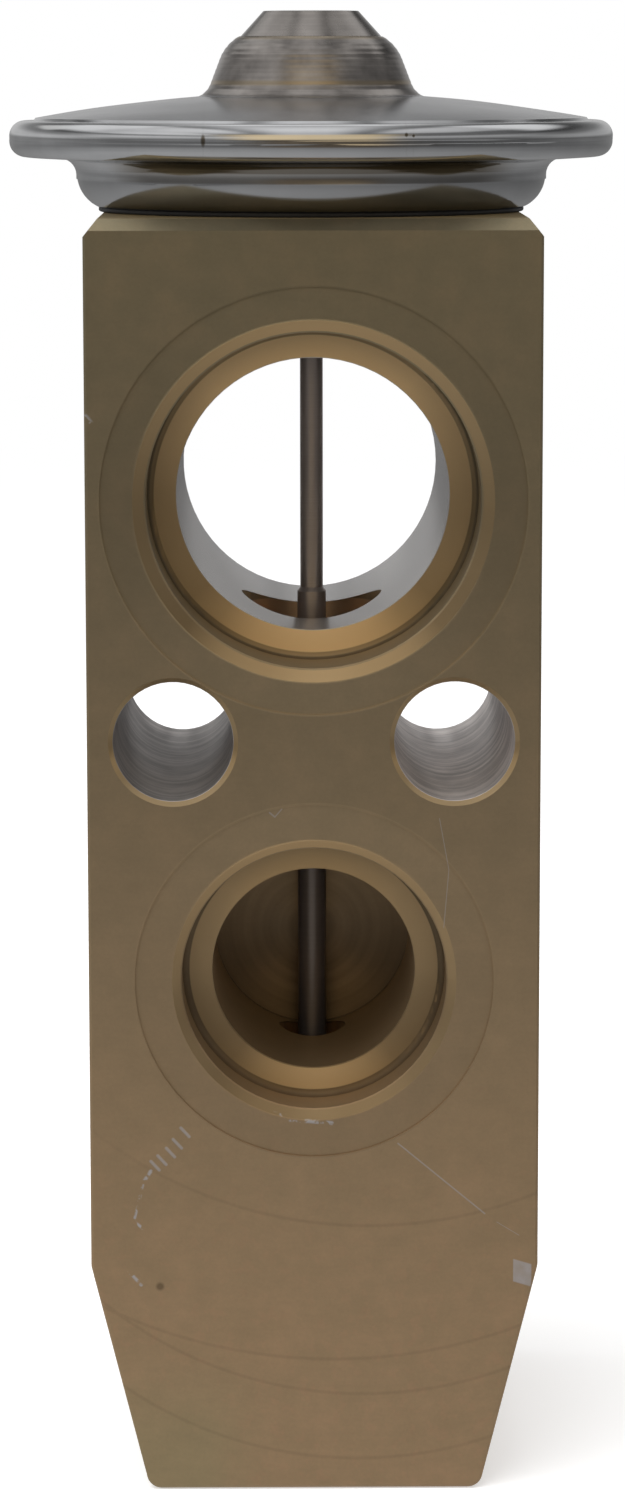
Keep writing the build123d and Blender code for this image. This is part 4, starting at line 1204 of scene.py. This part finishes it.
def studio_greys(settings):
    """Grey cards by direction from the valve: dim ahead, brighter behind and to the left, and open to
    the white surroundings high up behind. A card is where the direction's share to the right and its share
    upwards are both near those of the card's middle."""
    recipe = Recipe("studio greys")
    middle = (0.0, 0.0, BLOCK_HIGH[2] * 0.8)
    away = recipe.vector("NORMALIZE", recipe.vector("SUBTRACT", recipe.place, middle))
    right, back, up = recipe.parts(away)
    aside = recipe.size(right)
    ahead = recipe.step(back, -0.3, -0.6)

    def card(across, rise, middle, half_size, soft):
        """1 on a card, by its middle, half its size and its edges' softness, each across and up."""
        return recipe.times(recipe.near(across, middle[0], half_size[0], soft[0]),
                            recipe.near(rise, middle[1], half_size[1], soft[1]))

    behind = recipe.step(back, -0.3, 0.5)
    grey = recipe.blend(behind, recipe.ramp(up, FRONT_GREYS), recipe.ramp(up, BACK_GREYS))
    dark = recipe.most(recipe.near(right, -0.02, 0.1, 0.22),
                       card(right, up, (-0.72, 0.66), (0.12, 0.08), (0.14, 0.1)),
                       card(aside, up, (0.52, 0.84), (0.12, 0.08), (0.12, 0.1)))
    overhead = recipe.times(recipe.step(up, 0.34, 0.5), recipe.scale(dark, -0.72, -0.04))
    grey = recipe.toned(grey, overhead)
    white = recipe.times(card(right, up, (-0.52, 0.52), (0.1, 0.06), (0.1, 0.06)),
                         recipe.step(back, 0.4, 0.6), 0.7)
    grey = recipe.blend(white, grey, WHITE_CARD)
    brown = recipe.times(card(right, up, (0.1, -0.04), (0.25, 0.06), (0.3, 0.1)), ahead, 0.6)
    grey = recipe.blend(brown, grey, BROWN_CARD)
    cream = recipe.times(card(right, up, (0.0, 0.36), (0.3, 0.22), (0.3, 0.1)), ahead, 0.9)
    grey = recipe.blend(cream, grey, CREAM_CARD)
    level = recipe.times(settings.wall, recipe.ranged(right, -1.0, 1.0, 1.25, 0.75))
    glow = recipe.add("ShaderNodeEmission", {"Color": grey, "Strength": level})
    notch = recipe.step(recipe.size(recipe.minus(aside, 0.21)), 0.05, 0.1)
    opening = recipe.times(recipe.step(back, 0.1, 0.4), recipe.near(up, 0.72, 0.08, 0.12), notch)
    clear = recipe.add("ShaderNodeBsdfTransparent")
    both = recipe.add("ShaderNodeMixShader", {0: opening, 1: glow.outputs[0], 2: clear.outputs[0]})
    return recipe.surface(both.outputs[0])


def add_dome(settings):
    """Bowl and dome of cards that only reflections see: a flat foot, then a quarter circle."""
    reach = 0.7
    lift = FLOOR_HEIGHT / 2
    rise = np.linspace(0, pi / 2, 24)
    quarter = np.column_stack([np.cos(rise), np.sin(rise)]) * reach + (0, lift)
    profile = np.vstack([[(0.001, lift), (0.1, lift), (0.3, lift)], quarter[:-1], [(0.001, reach + lift)]])
    dome = stage_object("studio_dome", turned_points(profile, 96), studio_greys(settings))
    dome.visible_camera = False
    dome.visible_diffuse = False
    dome.visible_shadow = False
    dome.visible_transmission = False


def add_lamp(name, place, size, power):
    """Soft square lamp that points at the middle of the valve."""
    data = bpy.data.lights.new(name, "AREA")
    data.shape = "SQUARE"
    data.size = size
    data.energy = power
    lamp = bpy.data.objects.new(name, data)
    aim = Vector((0, 0, 0.045)) - Vector(place)
    lamp.matrix_world = Matrix.Translation(place) @ aim.to_track_quat("-Z", "Y").to_matrix().to_4x4()
    lamp.visible_glossy = False
    bpy.context.scene.collection.objects.link(lamp)


def add_world():
    """White surroundings for the camera and for reflections, softer for the light that they give."""
    world = bpy.data.worlds.new("studio")
    world.use_nodes = True
    tree = world.node_tree
    sky = tree.nodes["Background"]
    sky.inputs["Color"].default_value = (1, 1, 1, 1)
    level = tree.nodes.new("ShaderNodeMapRange")
    tree.links.new(seen_rays(tree), level.inputs["Value"])
    level.inputs["To Min"].default_value = 0.55
    level.inputs["To Max"].default_value = 1.0
    tree.links.new(level.outputs[0], sky.inputs["Strength"])
    bpy.context.scene.world = world


def add_camera(settings):
    """Camera at the photograph's angle: ahead is turned by yaw, then tilted down by pitch and rolled."""
    ahead_flat = Vector((sin(settings.yaw), cos(settings.yaw), 0))
    right_flat = Vector((cos(settings.yaw), -sin(settings.yaw), 0))
    up_flat = Vector((0, 0, 1))
    ahead = ahead_flat * cos(settings.pitch) - up_flat * sin(settings.pitch)
    up = up_flat * cos(settings.pitch) + ahead_flat * sin(settings.pitch)
    right = right_flat * cos(settings.roll) + up * sin(settings.roll)
    up = up * cos(settings.roll) - right_flat * sin(settings.roll)
    data = bpy.data.cameras.new("camera")
    data.lens = settings.lens
    data.sensor_width = 36.0
    data.clip_start = 0.01
    camera = bpy.data.objects.new("camera", data)
    turn = Matrix((right, up, -ahead)).transposed().to_4x4()
    camera.matrix_world = Matrix.Translation(settings.eye) @ turn
    bpy.context.scene.collection.objects.link(camera)
    bpy.context.scene.camera = camera


class VALVE_OT_stage(bpy.types.Operator):
    """Set the floor, the lamps and the camera"""

    bl_idname = "valve.stage"
    bl_label = "Stage"

    def execute(self, context):
        settings = context.scene.valve_stage
        add_world()
        add_floor(settings)
        add_dome(settings)
        add_lamp("key_lamp", (-0.25, -0.35, 1.0), 0.9, settings.key)
        add_lamp("left_lamp", (-0.9, -0.3, 0.6), 0.5, settings.fill)
        add_lamp("right_lamp", (0.9, -0.5, 0.6), 0.5, settings.fill * 0.5)
        add_camera(settings)
        context.scene.view_settings.view_transform = "Standard"
        return {"FINISHED"}


STEPS = (
    VALVE_OT_block,
    VALVE_OT_threads,
    VALVE_OT_head,
    VALVE_OT_pin,
    VALVE_OT_inner,
    VALVE_OT_spring,
    VALVE_OT_screw,
    VALVE_OT_stage,
)


class VALVE_PT_sidebar(bpy.types.Panel):
    """Sidebar tab with one button for each step"""

    bl_label = "Valve"
    bl_idname = "VALVE_PT_sidebar"
    bl_space_type = "VIEW_3D"
    bl_region_type = "UI"
    bl_category = "Valve"

    def draw(self, context):
        for step in STEPS:
            self.layout.operator(step.bl_idname)
        for group in ("valve_shape", "valve_finish", "valve_stage"):
            settings = getattr(context.scene, group)
            column = self.layout.column()
            for name in settings.__annotations__:
                column.prop(settings, name)


GROUPS = {"valve_shape": ValveShape, "valve_finish": ValveFinish, "valve_stage": ValveStage}


def register():
    for kind in (*GROUPS.values(), *STEPS, VALVE_PT_sidebar):
        bpy.utils.register_class(kind)
    for name, kind in GROUPS.items():
        setattr(bpy.types.Scene, name, PointerProperty(type=kind))


def unregister():
    for name in GROUPS:
        delattr(bpy.types.Scene, name)
    for kind in (VALVE_PT_sidebar, *STEPS[::-1], *GROUPS.values()):
        bpy.utils.unregister_class(kind)


def main():
    """Dress the frame."""
    register()
    for step in STEPS:
        group, name = step.bl_idname.split(".")
        getattr(getattr(bpy.ops, group), name)()
    bpy.context.view_layer.update()


if __name__ == "__main__":
    main()
